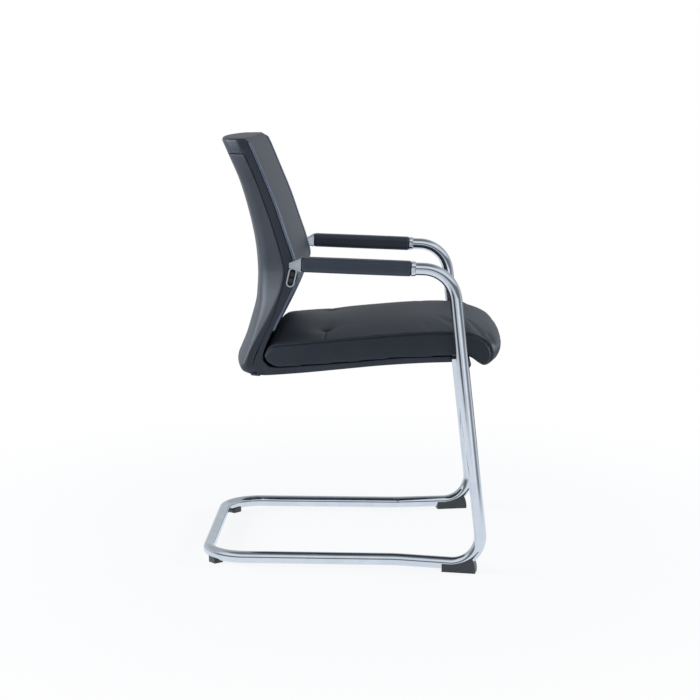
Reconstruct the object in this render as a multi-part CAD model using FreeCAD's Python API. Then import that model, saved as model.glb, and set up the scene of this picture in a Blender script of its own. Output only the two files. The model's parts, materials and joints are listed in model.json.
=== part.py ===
import FreeCAD
import Part
import math
import os
from FreeCAD import Vector

# Cantilever visitor chair with a bent tube frame, arm rests and a padded seat and back.
# Millimetres. X runs across the chair, -Y is the front, Z is up from the floor.
# "forward" is the distance in front of the origin, so Y = -forward.
# "spread" is the distance to one side of the middle plane.

# Frame tube
tube_diameter = 25.0
tube_wall = 2.0
bend_step = 22.5
bore_sides = 12
rear_bar_forward = -301.5
rear_bar_height = 19.6
rear_spread = 238.0
rear_corner_radius = 82.0
joint_forward = 40.0
kink_forward = 91.5
kink_height = 17.6
kink_spread = 240.0
kink_radius = 160.0
front_forward = 271.0
front_height = 15.8
front_spread = 272.7
front_bend_radius = 60.0
arm_front_forward = 203.5
arm_front_height = 619.1
arm_spread = 268.5
arm_bend_radius = 67.0
arm_end_rise = 10.9

# Tube across the legs, under the front of the seat
cross_tube_diameter = 19.0
cross_tube_wall = 2.0
cross_tube_forward = 232.0
cross_tube_rise = 1.0
weld_gap = 0.2

# Steel straps that join the cross tube to the seat pan
strap_spread = 150.0
strap_width = 40.0
strap_thickness = 5.0
strap_rear_forward = 62.0
strap_bolt_forwards = [92.0, 172.0]
seat_clearance = 0.3
bolt_clearance = 0.2
hole_clearance = 0.05
bolt_diameter = 6.0
seat_screw_head_width = 10.0
seat_screw_head_height = 4.0
seat_screw_bite = 9.0

# Heights of the back above its waist are drawn for one crest height and stretched to the wanted one
cap_top_height = 877.0
drawn_top_height = 877.0
back_waist_height = 655.0

# Moulded inner shell: one L-shaped sheet under the seat and up the back
shell_half_width = 240.0
pan_bottom = [(204.0, 429.0), (139.0, 426.5), (59.0, 421.0), (-22.0, 413.0), (-103.0, 405.0), (-176.0, 400.0)]
pan_top = [(204.0, 441.0), (99.0, 437.0), (-2.0, 427.5), (-103.0, 419.5), (-152.0, 416.0)]
heel_outer = [(-176.0, 400.0), (-192.0, 407.0), (-199.0, 423.0)]
heel_inner = [(-152.0, 416.0), (-172.0, 424.0), (-178.5, 442.0)]
back_outer = [(-199.0, 423.0), (-180.0, 473.0), (-160.5, 514.0), (-147.0, 554.0), (-136.5, 588.0),
              (-135.5, 615.0), (-143.5, 653.0), (-160.0, 707.0), (-191.5, 795.0), (-225.5, 872.0)]
back_inner = [(-178.5, 442.0), (-168.0, 473.0), (-150.5, 514.0), (-137.5, 554.0), (-126.5, 588.0),
              (-125.5, 615.0), (-133.5, 653.0), (-150.0, 707.0), (-181.5, 795.0), (-215.5, 872.0)]

# Outer back shell: a curved tray that closes the rear
tray_wall = 4.0
tray_rear_radius = 1200.0
tray_corner_reach = 15.0
tray_flank_lean = 24.0
tray_lip = 2.0
tray_top_height = 846.0
tray_rear_line = [(402.0, -226.0), (406.0, -240.0), (416.0, -246.0), (433.0, -240.0), (457.0, -230.0),
                  (485.0, -221.0), (537.0, -206.8), (567.0, -203.8), (599.0, -202.5), (655.0, -206.5),
                  (716.0, -218.4), (788.0, -239.3), (846.0, -264.0), (869.0, -274.0)]
tray_width_line = [(402.0, 233.0), (412.0, 238.5), (430.0, 240.0), (525.0, 240.0), (620.0, 240.0), (740.0, 238.5),
                   (846.0, 235.0), (869.0, 232.0)]
tray_stations = [402.0, 406.0, 416.0, 433.0, 485.0, 537.0, 595.0, 655.0, 750.0, 846.0]
cap_profile = [(0.0, 0.0), (0.55, 0.5), (0.85, 3.5), (1.0, 10.0)]
tray_seam_gap = 0.3

# Back cushion
face_line = [(488.0, -158.0), (510.0, -148.5), (538.0, -134.5), (563.0, -122.5), (588.0, -111.5), (606.0, -107.8),
             (640.0, -116.0), (686.0, -131.5), (746.0, -152.0), (805.0, -176.0), (851.0, -195.0), (869.0, -203.5)]
face_crown = 5.0
face_edge_radius = 5.0
back_cushion_stations = [489.0, 520.0, 552.0, 580.0, 606.0, 636.0, 690.0, 780.0, 850.0]
crest_gap = 1.0
crest_profile = [(9.0, 1.0), (3.0, 3.5), (0.0, 9.0)]
soft_clearance = 0.3

# Seat cushion: side seam from the rear to the front, then the nose from the brow down to the toe.
# Each nose point also has its share of the nose's bulge and of the crown.
cushion_half_width = 245.0
cushion_crown = 14.0
seam_line = [(-152.0, 463.5), (-99.0, 468.5), (0.0, 478.0), (59.0, 483.5), (139.0, 489.5), (185.0, 491.0),
             (240.0, 489.5)]
nose_line = [(272.0, 475.0, 0.75, 0.35), (285.0, 454.0, 1.0, -0.4), (284.0, 440.0, 0.85, 0.0),
             (277.0, 427.5, 0.55, 0.0), (267.0, 420.5, 0.2, 0.0)]
tail_line = [(-164.0, 460.0, 0.5), (-172.5, 451.5, 0.1), (-176.5, 440.0, 0.0), (-170.5, 428.0, 0.0)]
nose_bulge = 15.0
nose_bow = 12.0
foot_clearance = 0.6
tuft_spread = 155.0
tuft_forward = -54.0
tuft_depth = 7.0
tuft_spread_width = 32.0
channel_depth = 1.2
channel_width = 22.0
swell_power = 16
crown_power = 5
cushion_stations = [1.0, 0.975, 0.88, 0.75, 0.63, 0.51, 0.3]

# Arm pads, collars and rear brackets
pad_front_forward = 120.5
pad_width = 39.0
pad_height = 30.0
pad_corner_radius = 9.0
pad_round_over = 2.5
pad_bore_clearance = 0.3
collar_length = 9.0
collar_end_width = 33.0
collar_end_height = 27.5
collar_root_step = 1.0
collar_rim_length = 1.5
collar_rim_drop = 2.0
collar_bore_clearance = 0.1
butt_gap = 0.2
bracket_length = 25.0
bracket_end_height = 10.0
bracket_end_drop = 4.0
bracket_end_spread = [243.5, 264.0]
bracket_edge_radius = 2.5
bracket_face_step = 0.5
spigot_length = 28.0
spigot_clearance = 0.15
boss_width = 17.0
boss_length = 40.0
boss_face_spread = 254.0
boss_rim = 2.6
boss_recess_depth = 7.0
boss_reach = 21.0
boss_drop = 28.5
boss_set_back = 11.1
boss_lean = 13.0
bracket_bolt_spacing = 13.0
bracket_bolt_head_diameter = 9.6
bracket_bolt_head_height = 5.0
bracket_bolt_length = 26.0
bolt_socket_width = 5.0
bolt_socket_depth = 3.0
mount_block_length = 30.0
mount_block_width = 11.0
mount_block_depth = 20.0
mount_block_inset = 0.5
mount_block_lead = 0.9
block_room_clearance = 0.4

# Glides
front_glide_rear_forward = 187.0
front_glide_toe_forward = 256.0
front_glide_waist_forward = 250.0
front_glide_waist_height = 29.0
front_glide_fin_forward = 262.5
front_glide_fin_height = 46.0
front_glide_bow = 0.8
front_glide_bow_height = 15.0
front_glide_saddle_angle = 48.0
front_glide_mid_angle = 28.0
glide_cheek = 1.0
glide_clearance = 0.15
groove_sides = 24
rear_glide_length = 22.0
rear_glide_width = 24.0
rear_glide_turn = 40.0
rear_glide_height = 15.0
rear_glide_corner = 3.0

tube_radius = tube_diameter / 2.0
tube_bore_radius = tube_radius - tube_wall
groove_radius = (tube_radius + glide_clearance) / math.cos(math.pi / groove_sides)
across = Vector(1, 0, 0)
up = Vector(0, 0, 1)
middle = Vector(0, 0, 0)
cross_tube_height = pan_bottom[0][1] + cross_tube_rise
arm_end_height = arm_front_height + arm_end_rise
boss_height = arm_end_height - boss_drop
back_stretch = (cap_top_height - drawn_top_height) / (drawn_top_height - back_waist_height)


# General helpers

def place(spread, forward, height):
    return Vector(spread, -forward, height)


def mirrored(shape):
    return shape.mirror(middle, across)


def save(name, shape):
    shape.exportStep("parts/" + name + ".step")


def save_sides(name, right_shape):
    """One file for each side of the chair."""
    save(name + "_right", right_shape)
    save(name + "_left", mirrored(right_shape))


def save_both(name, right_shape):
    """Both sides' small pieces in one file."""
    save(name, Part.makeCompound([right_shape, mirrored(right_shape)]))


def join(shapes):
    return shapes[0].fuse(shapes[1:]).removeSplitter()


def smooth_value(stations, at):
    """Value at one station of a smooth line through (station, value) pairs in rising order."""
    count = len(stations)
    slopes = []
    for index in range(count):
        low = stations[max(index - 1, 0)]
        high = stations[min(index + 1, count - 1)]
        slopes.append((high[1] - low[1]) / (high[0] - low[0]))
    index = 0
    while index < count - 2 and at > stations[index + 1][0]:
        index += 1
    start, end = stations[index], stations[index + 1]
    span = end[0] - start[0]
    t = (at - start[0]) / span
    if t < 0.0:
        return start[1] + slopes[index] * (at - start[0])
    if t > 1.0:
        return end[1] + slopes[index + 1] * (at - end[0])
    return (start[1] * (1 + 2 * t) * (1 - t) ** 2 + end[1] * t * t * (3 - 2 * t)
            + slopes[index] * span * t * (1 - t) ** 2 - slopes[index + 1] * span * t * t * (1 - t))


def curve(spread, line):
    """Smooth edge through (forward, height) points in the plane at one spread."""
    spline = Part.BSplineCurve()
    spline.interpolate([place(spread, forward, height) for forward, height in line])
    return spline.toShape()


def straight(start, end):
    return Part.LineSegment(start, end).toShape()


def arc(start, through, end):
    return Part.Arc(start, through, end).toShape()


def ring(centre, heading, sideways, radius, sides):
    """Closed wire square to heading: a circle, or a polygon when sides is given."""
    if sides == 0:
        return Part.Wire([Part.Circle(centre, heading, radius).toShape()])
    rise = heading.cross(sideways)
    turns = [2.0 * math.pi * step / sides for step in range(sides)]
    corners = [centre + sideways * (radius * math.cos(turn)) + rise * (radius * math.sin(turn)) for turn in turns]
    return Part.makePolygon(corners + corners[:1])


def bent_bar(corners, radii, radius, sides=0):
    """Bar of straight runs joined by bends of many short cones; radii belong to the inner corners."""
    pieces = []
    last = corners[0]
    for index, bend_radius in enumerate(radii):
        corner = corners[index + 1]
        back = (corners[index] - corner).normalize()
        ahead = (corners[index + 2] - corner).normalize()
        turn = math.pi - back.getAngle(ahead)
        reach = bend_radius * math.tan(turn / 2.0)
        centre = corner + (back + ahead).normalize() * (bend_radius / math.cos(turn / 2.0))
        start = corner + back * reach
        axis = (start - centre).cross(back * -1.0).normalize()
        pieces.append(Part.makeLoft([ring(spot, back, axis, radius, sides) for spot in (last, start)], True, True))
        steps = max(1, round(math.degrees(turn) / bend_step))
        rings = []
        for step in range(steps + 1):
            spin = FreeCAD.Rotation(axis, math.degrees(turn) * step / steps)
            rings.append(ring(centre + spin.multVec(start - centre), spin.multVec(back), axis, radius, sides))
        pieces.append(Part.makeLoft(rings, True, True))
        last = corner + ahead * reach
        last_axis = axis
    heading = (corners[-1] - last).normalize()
    pieces.append(Part.makeLoft([ring(spot, heading * -1.0, last_axis, radius, sides) for spot in (last, corners[-1])],
                                True, True))
    return pieces[0].fuse(pieces[1:])


def bent_tube(corners, radii):
    """Tube with a round outside; its hidden bore has flat sides of the same area as the round one."""
    bore_radius = tube_bore_radius * math.sqrt(2.0 * math.pi / bore_sides / math.sin(2.0 * math.pi / bore_sides))
    return bent_bar(corners, radii, tube_radius).cut(bent_bar(corners, radii, bore_radius, bore_sides))


def extruded(edges, spread_low, spread_high):
    """Solid between two spreads from edges drawn at spread_low."""
    return Part.Face(Part.Wire(edges)).extrude(Vector(spread_high - spread_low, 0, 0))


def rounded_rectangle(centre, side, rise, width, height, radius):
    """Closed wire round a centre, in the plane of the unit vectors side and rise."""
    half_width = width / 2.0
    half_height = height / 2.0
    diagonal = radius * (1 - math.sqrt(0.5))

    def spot(a, b):
        return centre + side * a + rise * b

    edges = []
    for sign_a, sign_b in [(1, 1), (-1, 1), (-1, -1), (1, -1)]:
        rim_a = spot(sign_a * half_width, sign_b * (half_height - radius))
        rim_b = spot(sign_a * (half_width - radius), sign_b * half_height)
        through = spot(sign_a * (half_width - diagonal), sign_b * (half_height - diagonal))
        if sign_a * sign_b < 0:
            rim_a, rim_b = rim_b, rim_a
        if edges:
            edges.append(straight(edges[-1].Vertexes[-1].Point, rim_a))
        edges.append(arc(rim_a, through, rim_b))
    edges.append(straight(edges[-1].Vertexes[-1].Point, edges[0].Vertexes[0].Point))
    return Part.Wire(edges)


def slot_prism(centre, lean_degrees, width, length, depth):
    """Round-ended slot shape, standing in the side plane and leaning forward, extruded outward."""
    radius = width / 2.0
    reach = (length - width) / 2.0
    lean = math.radians(lean_degrees)
    rise = Vector(0, -math.sin(lean), math.cos(lean))
    ahead = Vector(0, -math.cos(lean), -math.sin(lean))
    top = centre + rise * reach
    bottom = centre - rise * reach
    edges = [straight(bottom + ahead * radius, top + ahead * radius),
             arc(top + ahead * radius, top + rise * radius, top - ahead * radius),
             straight(top - ahead * radius, bottom - ahead * radius),
             arc(bottom - ahead * radius, bottom - rise * radius, bottom + ahead * radius)]
    return Part.Face(Part.Wire(edges)).extrude(across * depth)


def hexagon_prism(centre, direction, width, depth):
    frame = FreeCAD.Rotation(up, direction)
    radius = width / math.sqrt(3.0)
    corners = [centre + frame.multVec(Vector(radius * math.cos(math.radians(60 * step)),
                                             radius * math.sin(math.radians(60 * step)), 0)) for step in range(7)]
    return Part.Face(Part.makePolygon(corners)).extrude(direction * depth)


def shank(seat, direction, length):
    return Part.makeCylinder(bolt_diameter / 2.0, length, seat - direction * length, direction)


def hexagon_screw(seat, direction):
    """Screw whose six-sided head sits on the point seat; direction points out of the head."""
    head = hexagon_prism(seat, direction, seat_screw_head_width, seat_screw_head_height)
    return join([head, shank(seat, direction, strap_thickness + seat_screw_bite)])


def socket_bolt(seat, direction):
    """Bolt whose round head sits on the point seat; direction points out of its key socket."""
    head = Part.makeCylinder(bracket_bolt_head_diameter / 2.0, bracket_bolt_head_height, seat, direction)
    socket = hexagon_prism(seat + direction * (bracket_bolt_head_height - bolt_socket_depth), direction,
                           bolt_socket_width, bolt_socket_depth)
    return join([head, shank(seat, direction, bracket_bolt_length)]).cut(socket)


# Side lines of the back at their stretched heights

def back_level(height):
    return height + max(height - back_waist_height, 0.0) * back_stretch


def stretched(line):
    return [(back_level(height), value) for height, value in line]


shell_outer = [(forward, back_level(height)) for forward, height in back_outer]
shell_inner = [(forward, back_level(height)) for forward, height in back_inner]
rear_line = stretched(tray_rear_line)
width_line = stretched(tray_width_line)
cushion_face = stretched(face_line)
seam_height = back_level(tray_top_height)
boss_forward = smooth_value(cushion_face, boss_height) - boss_set_back
arm_end_forward = boss_forward + boss_reach
mount_block_forward = boss_forward + mount_block_lead


# Frame tubes

joint_height = rear_bar_height + (kink_height - rear_bar_height) * (
    (joint_forward - rear_bar_forward) / (kink_forward - rear_bar_forward))
joint_spread = rear_spread + (kink_spread - rear_spread) * (
    (joint_forward - rear_bar_forward) / (kink_forward - rear_bar_forward))


def base_corner(side):
    return place(side * rear_spread, rear_bar_forward, rear_bar_height)


def base_joint(side):
    return place(side * joint_spread, joint_forward, joint_height)


def side_corners():
    arm_slope = (arm_end_height - arm_front_height) / (arm_end_forward - arm_front_forward)
    return [place(-joint_spread, joint_forward, joint_height),
            place(-kink_spread, kink_forward, kink_height),
            place(-front_spread, front_forward, front_height),
            place(-arm_spread, arm_front_forward, arm_front_height),
            place(-arm_spread, arm_end_forward, arm_front_height + arm_slope * (arm_end_forward - arm_front_forward))]


base_radii = [rear_corner_radius, rear_corner_radius]
side_radii = [kink_radius, front_bend_radius, arm_bend_radius]


def base_corners():
    return [base_joint(-1), base_corner(-1), base_corner(1), base_joint(1)]


def make_cross_tube():
    start = place(-front_spread, cross_tube_forward, cross_tube_height)
    length = 2 * front_spread
    outer = Part.makeCylinder(cross_tube_diameter / 2.0, length, start, across)
    inner = Part.makeCylinder(cross_tube_diameter / 2.0 - cross_tube_wall, length, start, across)
    corners = side_corners()
    leg_direction = corners[3] - corners[2]
    cope = Part.makeCylinder(tube_radius + weld_gap, leg_direction.Length, corners[2], leg_direction)
    outside = Part.makeBox(tube_diameter, tube_diameter * 4, tube_diameter * 4,
                           Vector(-front_spread - tube_diameter, -cross_tube_forward - tube_diameter * 2,
                                  cross_tube_height - tube_diameter * 2))
    share = (cross_tube_height - front_height) / (arm_front_height - front_height)
    leg_spread = front_spread + (arm_spread - front_spread) * share
    outside.translate(Vector(front_spread - leg_spread, 0, 0))
    trimmed = outer.cut(inner)
    for tool in (cope, outside):
        trimmed = trimmed.cut(tool).cut(mirrored(tool))
    return trimmed


# Inner shell

def flats(spread, line):
    """Straight edges through (forward, height) points in the plane at one spread."""
    spots = [place(spread, forward, height) for forward, height in line]
    return [straight(start, end) for start, end in zip(spots, spots[1:])]


def heel_curve(line, spread):
    return arc(*[place(spread, forward, height) for forward, height in line])


def shell_outline(spread):
    edges = flats(spread, pan_bottom) + [heel_curve(heel_outer, spread)]
    edges += flats(spread, shell_outer + list(reversed(shell_inner)))
    edges.append(heel_curve(list(reversed(heel_inner)), spread))
    edges += flats(spread, list(reversed(pan_top)) + [pan_bottom[0]])
    return edges


def region_ahead(spread):
    """Everything in front of the inner shell's rear face, seat side included."""
    top_forward, top_height = shell_outer[-1]
    low_forward, low_height = shell_outer[-2]
    slope = (top_forward - low_forward) / (top_height - low_height)
    ceiling = cap_top_height + tube_diameter
    reach = (top_forward + slope * (ceiling - top_height), ceiling)
    ahead = front_forward + tube_diameter
    edges = flats(-spread, pan_bottom) + [heel_curve(heel_outer, -spread)]
    edges += flats(-spread, shell_outer + [reach, (ahead, ceiling), (ahead, pan_bottom[0][1]), pan_bottom[0]])
    return extruded(edges, -spread, spread)


def region_behind(spread):
    """Everything behind the inner shell's front face, down to the back cushion's foot."""
    top_forward, top_height = shell_inner[-1]
    low_forward, low_height = shell_inner[-2]
    slope = (top_forward - low_forward) / (top_height - low_height)
    ceiling = cap_top_height + tube_diameter
    reach = (top_forward + slope * (ceiling - top_height), ceiling)
    behind = rear_bar_forward - tube_diameter
    foot = shell_inner[0]
    return extruded(flats(-spread, shell_inner + [reach, (behind, ceiling), (behind, foot[1]), foot]), -spread, spread)


# Outer back shell and top cap

def outer_line_forward(height):
    return smooth_value([(point[1], point[0]) for point in heel_outer[:2] + shell_outer], height)


def tray_section(height, inset, overlap):
    """Plan outline: curved rear, soft corners, flanks that lean outward to a lip beside the inner shell."""
    half_width = smooth_value(width_line, height) - inset
    rear = smooth_value(rear_line, height) + inset
    edge = outer_line_forward(height)
    lip = edge - tray_lip
    lean = math.tan(math.radians(tray_flank_lean))
    rear_radius = tray_rear_radius - inset
    corner_spread = half_width
    for step in range(4):
        corner_forward = rear + corner_spread ** 2 / (2.0 * rear_radius)
        corner_spread = half_width - (lip - corner_forward) * lean
    flank = Vector(half_width - corner_spread, lip - corner_forward, 0)
    reach = min(tray_corner_reach, flank.Length * 0.45)
    flank_end = Vector(corner_spread, corner_forward, 0) + flank.normalize() * reach
    rear_spread_end = corner_spread - reach
    rear_end = Vector(rear_spread_end, rear + rear_spread_end ** 2 / (2.0 * rear_radius), 0)
    through = (flank_end + rear_end) * 0.25 + Vector(corner_spread, corner_forward, 0) * 0.5

    def spot(side, point):
        return place(side * point.x, point.y, height)

    side = [Vector(half_width, edge + overlap, 0), Vector(half_width, lip, 0), flank_end, through, rear_end]
    right = [spot(1, point) for point in side]
    left = [spot(-1, point) for point in reversed(side)]
    edges = [straight(*pair) for pair in zip(right, right[1:])]
    edges.append(arc(right[-1], place(0, rear, height), left[0]))
    edges += [straight(*pair) for pair in zip(left, left[1:] + right[:1])]
    return Part.Wire(edges)


def tray_loft(stations, inset, overlap):
    return Part.makeLoft([tray_section(height, inset, overlap) for height in stations], True, True)


def make_tray(ahead):
    overlap = tray_wall * 2
    levels = [back_level(height) for height in tray_stations]
    hollow_levels = [levels[1] + tray_wall] + levels[2:-1] + [seam_height + tray_wall]
    outer = tray_loft(levels, 0.0, overlap)
    hollow = tray_loft(hollow_levels, tray_wall, overlap * 2)
    cutter = ahead.copy()
    cutter.translate(place(0, -seat_clearance, -seat_clearance))
    return outer.cut(hollow).cut(cutter)


def make_top_cap(ahead):
    low = seam_height + tray_seam_gap
    overlap = tray_wall * 2
    sections = [tray_section(low + (cap_top_height - low) * share, inset, overlap) for share, inset in cap_profile]
    cutter = ahead.copy()
    cutter.translate(place(0, -seat_clearance, 0))
    return Part.makeLoft(sections, True, True).cut(cutter)


# Back cushion

def back_cushion_section(height, inset):
    half_width = smooth_value(width_line, height) - inset
    face = smooth_value(cushion_face, height) - inset
    radius = face_edge_radius
    diagonal = radius * (1 - math.sqrt(0.5))
    rear = face - tube_diameter * 2

    def spot(spread, forward):
        return place(spread, forward, height)

    side = [spot(half_width, rear), spot(half_width, face - radius),
            spot(half_width - diagonal, face - diagonal), spot(half_width - radius, face)]
    far_side = [Vector(-point.x, point.y, point.z) for point in reversed(side)]
    edges = [straight(*pair) for pair in zip(side, side[1:])]
    edges.append(arc(side[-1], spot(0, face + face_crown), far_side[0]))
    edges += [straight(*pair) for pair in zip(far_side, far_side[1:] + side[:1])]
    return Part.Wire(edges)


def make_back_cushion(behind):
    crest = cap_top_height - crest_gap
    stations = [(back_level(height), 0.0) for height in back_cushion_stations]
    stations += [(crest - drop, inset) for drop, inset in crest_profile]
    loft = Part.makeLoft([back_cushion_section(height, inset) for height, inset in stations], True, True)
    cutter = behind.copy()
    cutter.translate(place(0, soft_clearance, 0))
    return loft.cut(cutter)


# Seat cushion

def channel_drop(forward, spread):
    """Depth of the sewn channel across the seat, deepest at the two tufts."""
    to_tuft = abs(abs(spread) - tuft_spread)
    depth = channel_depth + (tuft_depth - channel_depth) * math.exp(-(to_tuft / tuft_spread_width) ** 2)
    return depth * math.exp(-((forward - tuft_forward) / channel_width) ** 2)


def cushion_outline(spread):
    """Side profile of the cushion at one spread: flat foot, round nose, crowned top."""
    share = min(abs(spread) / cushion_half_width, 1.0)
    swell = 1.0 - share ** swell_power
    crown = cushion_crown * (1.0 - share ** crown_power)
    nose_reach = nose_bulge * swell + nose_bow * (1.0 - share ** 2)
    tube_top = cross_tube_height + cross_tube_diameter / 2.0 + foot_clearance
    lip = [(cross_tube_forward, tube_top), (cross_tube_forward + cross_tube_diameter / 2.0, tube_top)]
    foot = [(forward, height + foot_clearance) for forward, height in reversed(pan_top)]
    top = [(forward, height + crown - channel_drop(forward, spread) * swell) for forward, height in seam_line]
    channel = [(forward, smooth_value(seam_line, forward) + crown - channel_drop(forward, spread) * swell)
               for forward in (tuft_forward - channel_width, tuft_forward, tuft_forward + channel_width)]
    top = sorted(top + channel)
    nose = [(forward + nose_reach * reach, height + crown * lift) for forward, height, reach, lift in nose_line]
    tail = [(forward, height + crown * lift) for forward, height, lift in tail_line]
    edges = flats(spread, [top[0]] + tail + foot + lip + [nose[-1]])
    edges += [curve(spread, list(reversed(nose))),
              curve(spread, [nose[0], top[-1]]),
              curve(spread, list(reversed(top)))]
    return Part.Wire(edges)


def make_seat_cushion():
    spreads = [-cushion_half_width * share for share in cushion_stations] + [0.0]
    spreads += [cushion_half_width * share for share in reversed(cushion_stations)]
    return Part.makeLoft([cushion_outline(spread) for spread in spreads], True, True)


# Arm pads, collars and brackets, built on the sitter's right

def arm_frame():
    corners = side_corners()
    along = (corners[3] - corners[4]).normalize()
    rise = across.cross(along).normalize() * -1.0
    if rise.z < 0:
        rise = rise * -1.0
    return corners[4], along, rise


def arm_bore(start_distance, length, radius):
    end, along, rise = arm_frame()
    return Part.makeCylinder(radius, length, end + along * start_distance, along)


def arm_loft(stations, radius_limit):
    """Loft of rounded rectangles square to the arm: (distance, width, height) each."""
    end, along, rise = arm_frame()
    wires = []
    for distance, width, height in stations:
        radius = min(radius_limit, height / 2.2)
        wires.append(rounded_rectangle(end + along * distance, across, rise, width, height, radius))
    return Part.makeLoft(wires, True, True)


def pad_length():
    return (pad_front_forward - arm_end_forward) / arm_frame()[1].dot(Vector(0, -1, 0))


def make_arm_pad():
    length = pad_length()
    end_width = pad_width - pad_round_over
    end_height = pad_height - pad_round_over
    body = arm_loft([(0.0, end_width, end_height),
                     (pad_round_over, pad_width, pad_height),
                     (length - pad_round_over, pad_width, pad_height),
                     (length, end_width, end_height)], pad_corner_radius)
    return body.cut(arm_bore(-1.0, length + 2.0, tube_radius + pad_bore_clearance))


def make_collar():
    start = pad_length() + butt_gap
    body = arm_loft([(start, pad_width - collar_root_step, pad_height - collar_root_step),
                     (start + collar_length - collar_rim_length, collar_end_width, collar_end_height),
                     (start + collar_length, collar_end_width - collar_rim_drop,
                      collar_end_height - collar_rim_drop / 2.0)], pad_corner_radius)
    return body.cut(arm_bore(start - 1.0, collar_length + 2.0, tube_radius + collar_bore_clearance))


def boss_centre(spread):
    return place(-spread, boss_forward, boss_height)


def boss_rise():
    lean = math.radians(boss_lean)
    return Vector(0, -math.sin(lean), math.cos(lean))


def bracket_bolt_seats():
    """Seats of the right bracket's two bolts, on the floor of its recess."""
    floor_spread = boss_face_spread - boss_recess_depth
    middle_seat = boss_centre(floor_spread)
    return [middle_seat + boss_rise() * (bracket_bolt_spacing / 2.0),
            middle_seat - boss_rise() * (bracket_bolt_spacing / 2.0)]


def bracket_wedge():
    """Wedge behind the pad: its side profile, narrowed in plan towards the back."""
    end, along, rise = arm_frame()
    front = end - along * butt_gap
    half_width = pad_width / 2.0 - bracket_face_step
    half_height = pad_height / 2.0 - bracket_face_step
    tail_low = -bracket_end_drop - bracket_end_height / 2.0
    tail_high = -bracket_end_drop + bracket_end_height / 2.0
    margin = Vector(tube_diameter * 4, 0, 0)
    side = [front + rise * half_height,
            front + rise * tail_high - along * bracket_length,
            front + rise * tail_low - along * bracket_length,
            front - rise * half_height]
    side_face = Part.Face(Part.makePolygon([corner - margin for corner in side + side[:1]]))
    tail_y = (front - along * bracket_length).y
    floor_height = front.z - pad_height
    plan = [Vector(-arm_spread - half_width, front.y, floor_height),
            Vector(-bracket_end_spread[1], tail_y, floor_height),
            Vector(-bracket_end_spread[0], tail_y, floor_height),
            Vector(-arm_spread + half_width, front.y, floor_height)]
    ahead = Vector(0, -tube_diameter / 2.0, 0)
    plan = [plan[0] + ahead] + plan + [plan[3] + ahead]
    plan_face = Part.Face(Part.makePolygon(plan + plan[:1]))
    wedge = side_face.extrude(margin * 2).common(plan_face.extrude(up * (2 * pad_height)))
    long_edges = [edge for edge in wedge.Edges
                  if abs(edge.tangentAt(edge.FirstParameter).x) < 0.9 and edge.Length > bracket_length * 0.9]
    return wedge.makeFillet(bracket_edge_radius, long_edges)


def make_bracket():
    end, along, rise = arm_frame()
    front = end - along * butt_gap
    inner_spread = shell_half_width + soft_clearance
    depth = boss_face_spread - inner_spread
    boss = slot_prism(boss_centre(boss_face_spread), boss_lean, boss_width, boss_length, depth)
    recess = slot_prism(boss_centre(boss_face_spread), boss_lean, boss_width - 2 * boss_rim,
                        boss_length - 2 * boss_rim, boss_recess_depth)
    spigot = Part.makeCylinder(tube_bore_radius - spigot_clearance, spigot_length + butt_gap, front, along)
    body = join([boss, bracket_wedge(), spigot]).cut(recess)
    for seat in bracket_bolt_seats():
        body = body.cut(Part.makeCylinder(bolt_diameter / 2.0 + bolt_clearance, depth * 2, seat, across))
    return body


def make_bracket_bolts():
    return Part.makeCompound([socket_bolt(seat, across * -1.0) for seat in bracket_bolt_seats()])


def mount_block_blank(growth):
    low = place(mount_block_inset - shell_half_width,
                mount_block_forward + mount_block_width / 2.0 + growth,
                boss_height - mount_block_length / 2.0 - growth)
    block = Part.makeBox(mount_block_depth, mount_block_width + 2 * growth, mount_block_length + 2 * growth, low)
    if growth == 0.0:
        return block
    return block.fuse([block.translated(across * growth), block.translated(across * -mount_block_depth)])


def bolt_holes(shape):
    for seat in bracket_bolt_seats():
        hole = Part.makeCylinder(bolt_diameter / 2.0 + bolt_clearance, bracket_bolt_length * 2, seat, across)
        shape = shape.cut(hole)
    return shape


def make_mount_block():
    return bolt_holes(mount_block_blank(0.0))


# Seat straps, bolts and nuts

def pan_slope(forward):
    """The flat of the pan's lower face that holds one forward position: its front end and its slope."""
    for start, end in zip(pan_bottom, pan_bottom[1:]):
        if forward >= end[0]:
            break
    return start, (start[1] - end[1]) / (start[0] - end[0])


def pan_height(forward):
    start, slope = pan_slope(forward)
    return start[1] + slope * (forward - start[0])


def pan_normal(forward):
    return Vector(0, pan_slope(forward)[1], 1.0).normalize()


def make_strap():
    """Flat steel under the pan, on the right, welded to the cross tube at its front end."""
    low_spread = -strap_spread - strap_width / 2.0
    high_spread = -strap_spread + strap_width / 2.0
    bends = [point[0] for point in pan_bottom if strap_rear_forward < point[0] < cross_tube_forward]
    stations = [cross_tube_forward] + bends + [strap_rear_forward]
    upper = [(forward, pan_height(forward) - seat_clearance) for forward in stations]
    lower = [(forward, height - strap_thickness) for forward, height in reversed(upper)]
    strap = extruded(flats(low_spread, upper + lower + upper[:1]), low_spread, high_spread)
    cope = Part.makeCylinder(cross_tube_diameter / 2.0 + weld_gap, strap_width * 2,
                             place(low_spread - strap_width / 2.0, cross_tube_forward, cross_tube_height), across)
    strap = strap.cut(cope)
    for seat, normal in strap_bolt_seats(strap_spread):
        strap = strap.cut(Part.makeCylinder(bolt_diameter / 2.0 + bolt_clearance, strap_thickness * 4,
                                            seat - normal * strap_thickness, normal))
    return strap


def strap_bolt_seats(spread):
    """Points on the strap's lower face, with the pan's upward normal there."""
    seats = []
    for forward in strap_bolt_forwards:
        normal = pan_normal(forward)
        seat = place(-spread, forward, pan_height(forward) - seat_clearance - bolt_clearance)
        seats.append((seat - normal * strap_thickness, normal))
    return seats


def all_strap_seats():
    return strap_bolt_seats(strap_spread) + strap_bolt_seats(-strap_spread)


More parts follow.
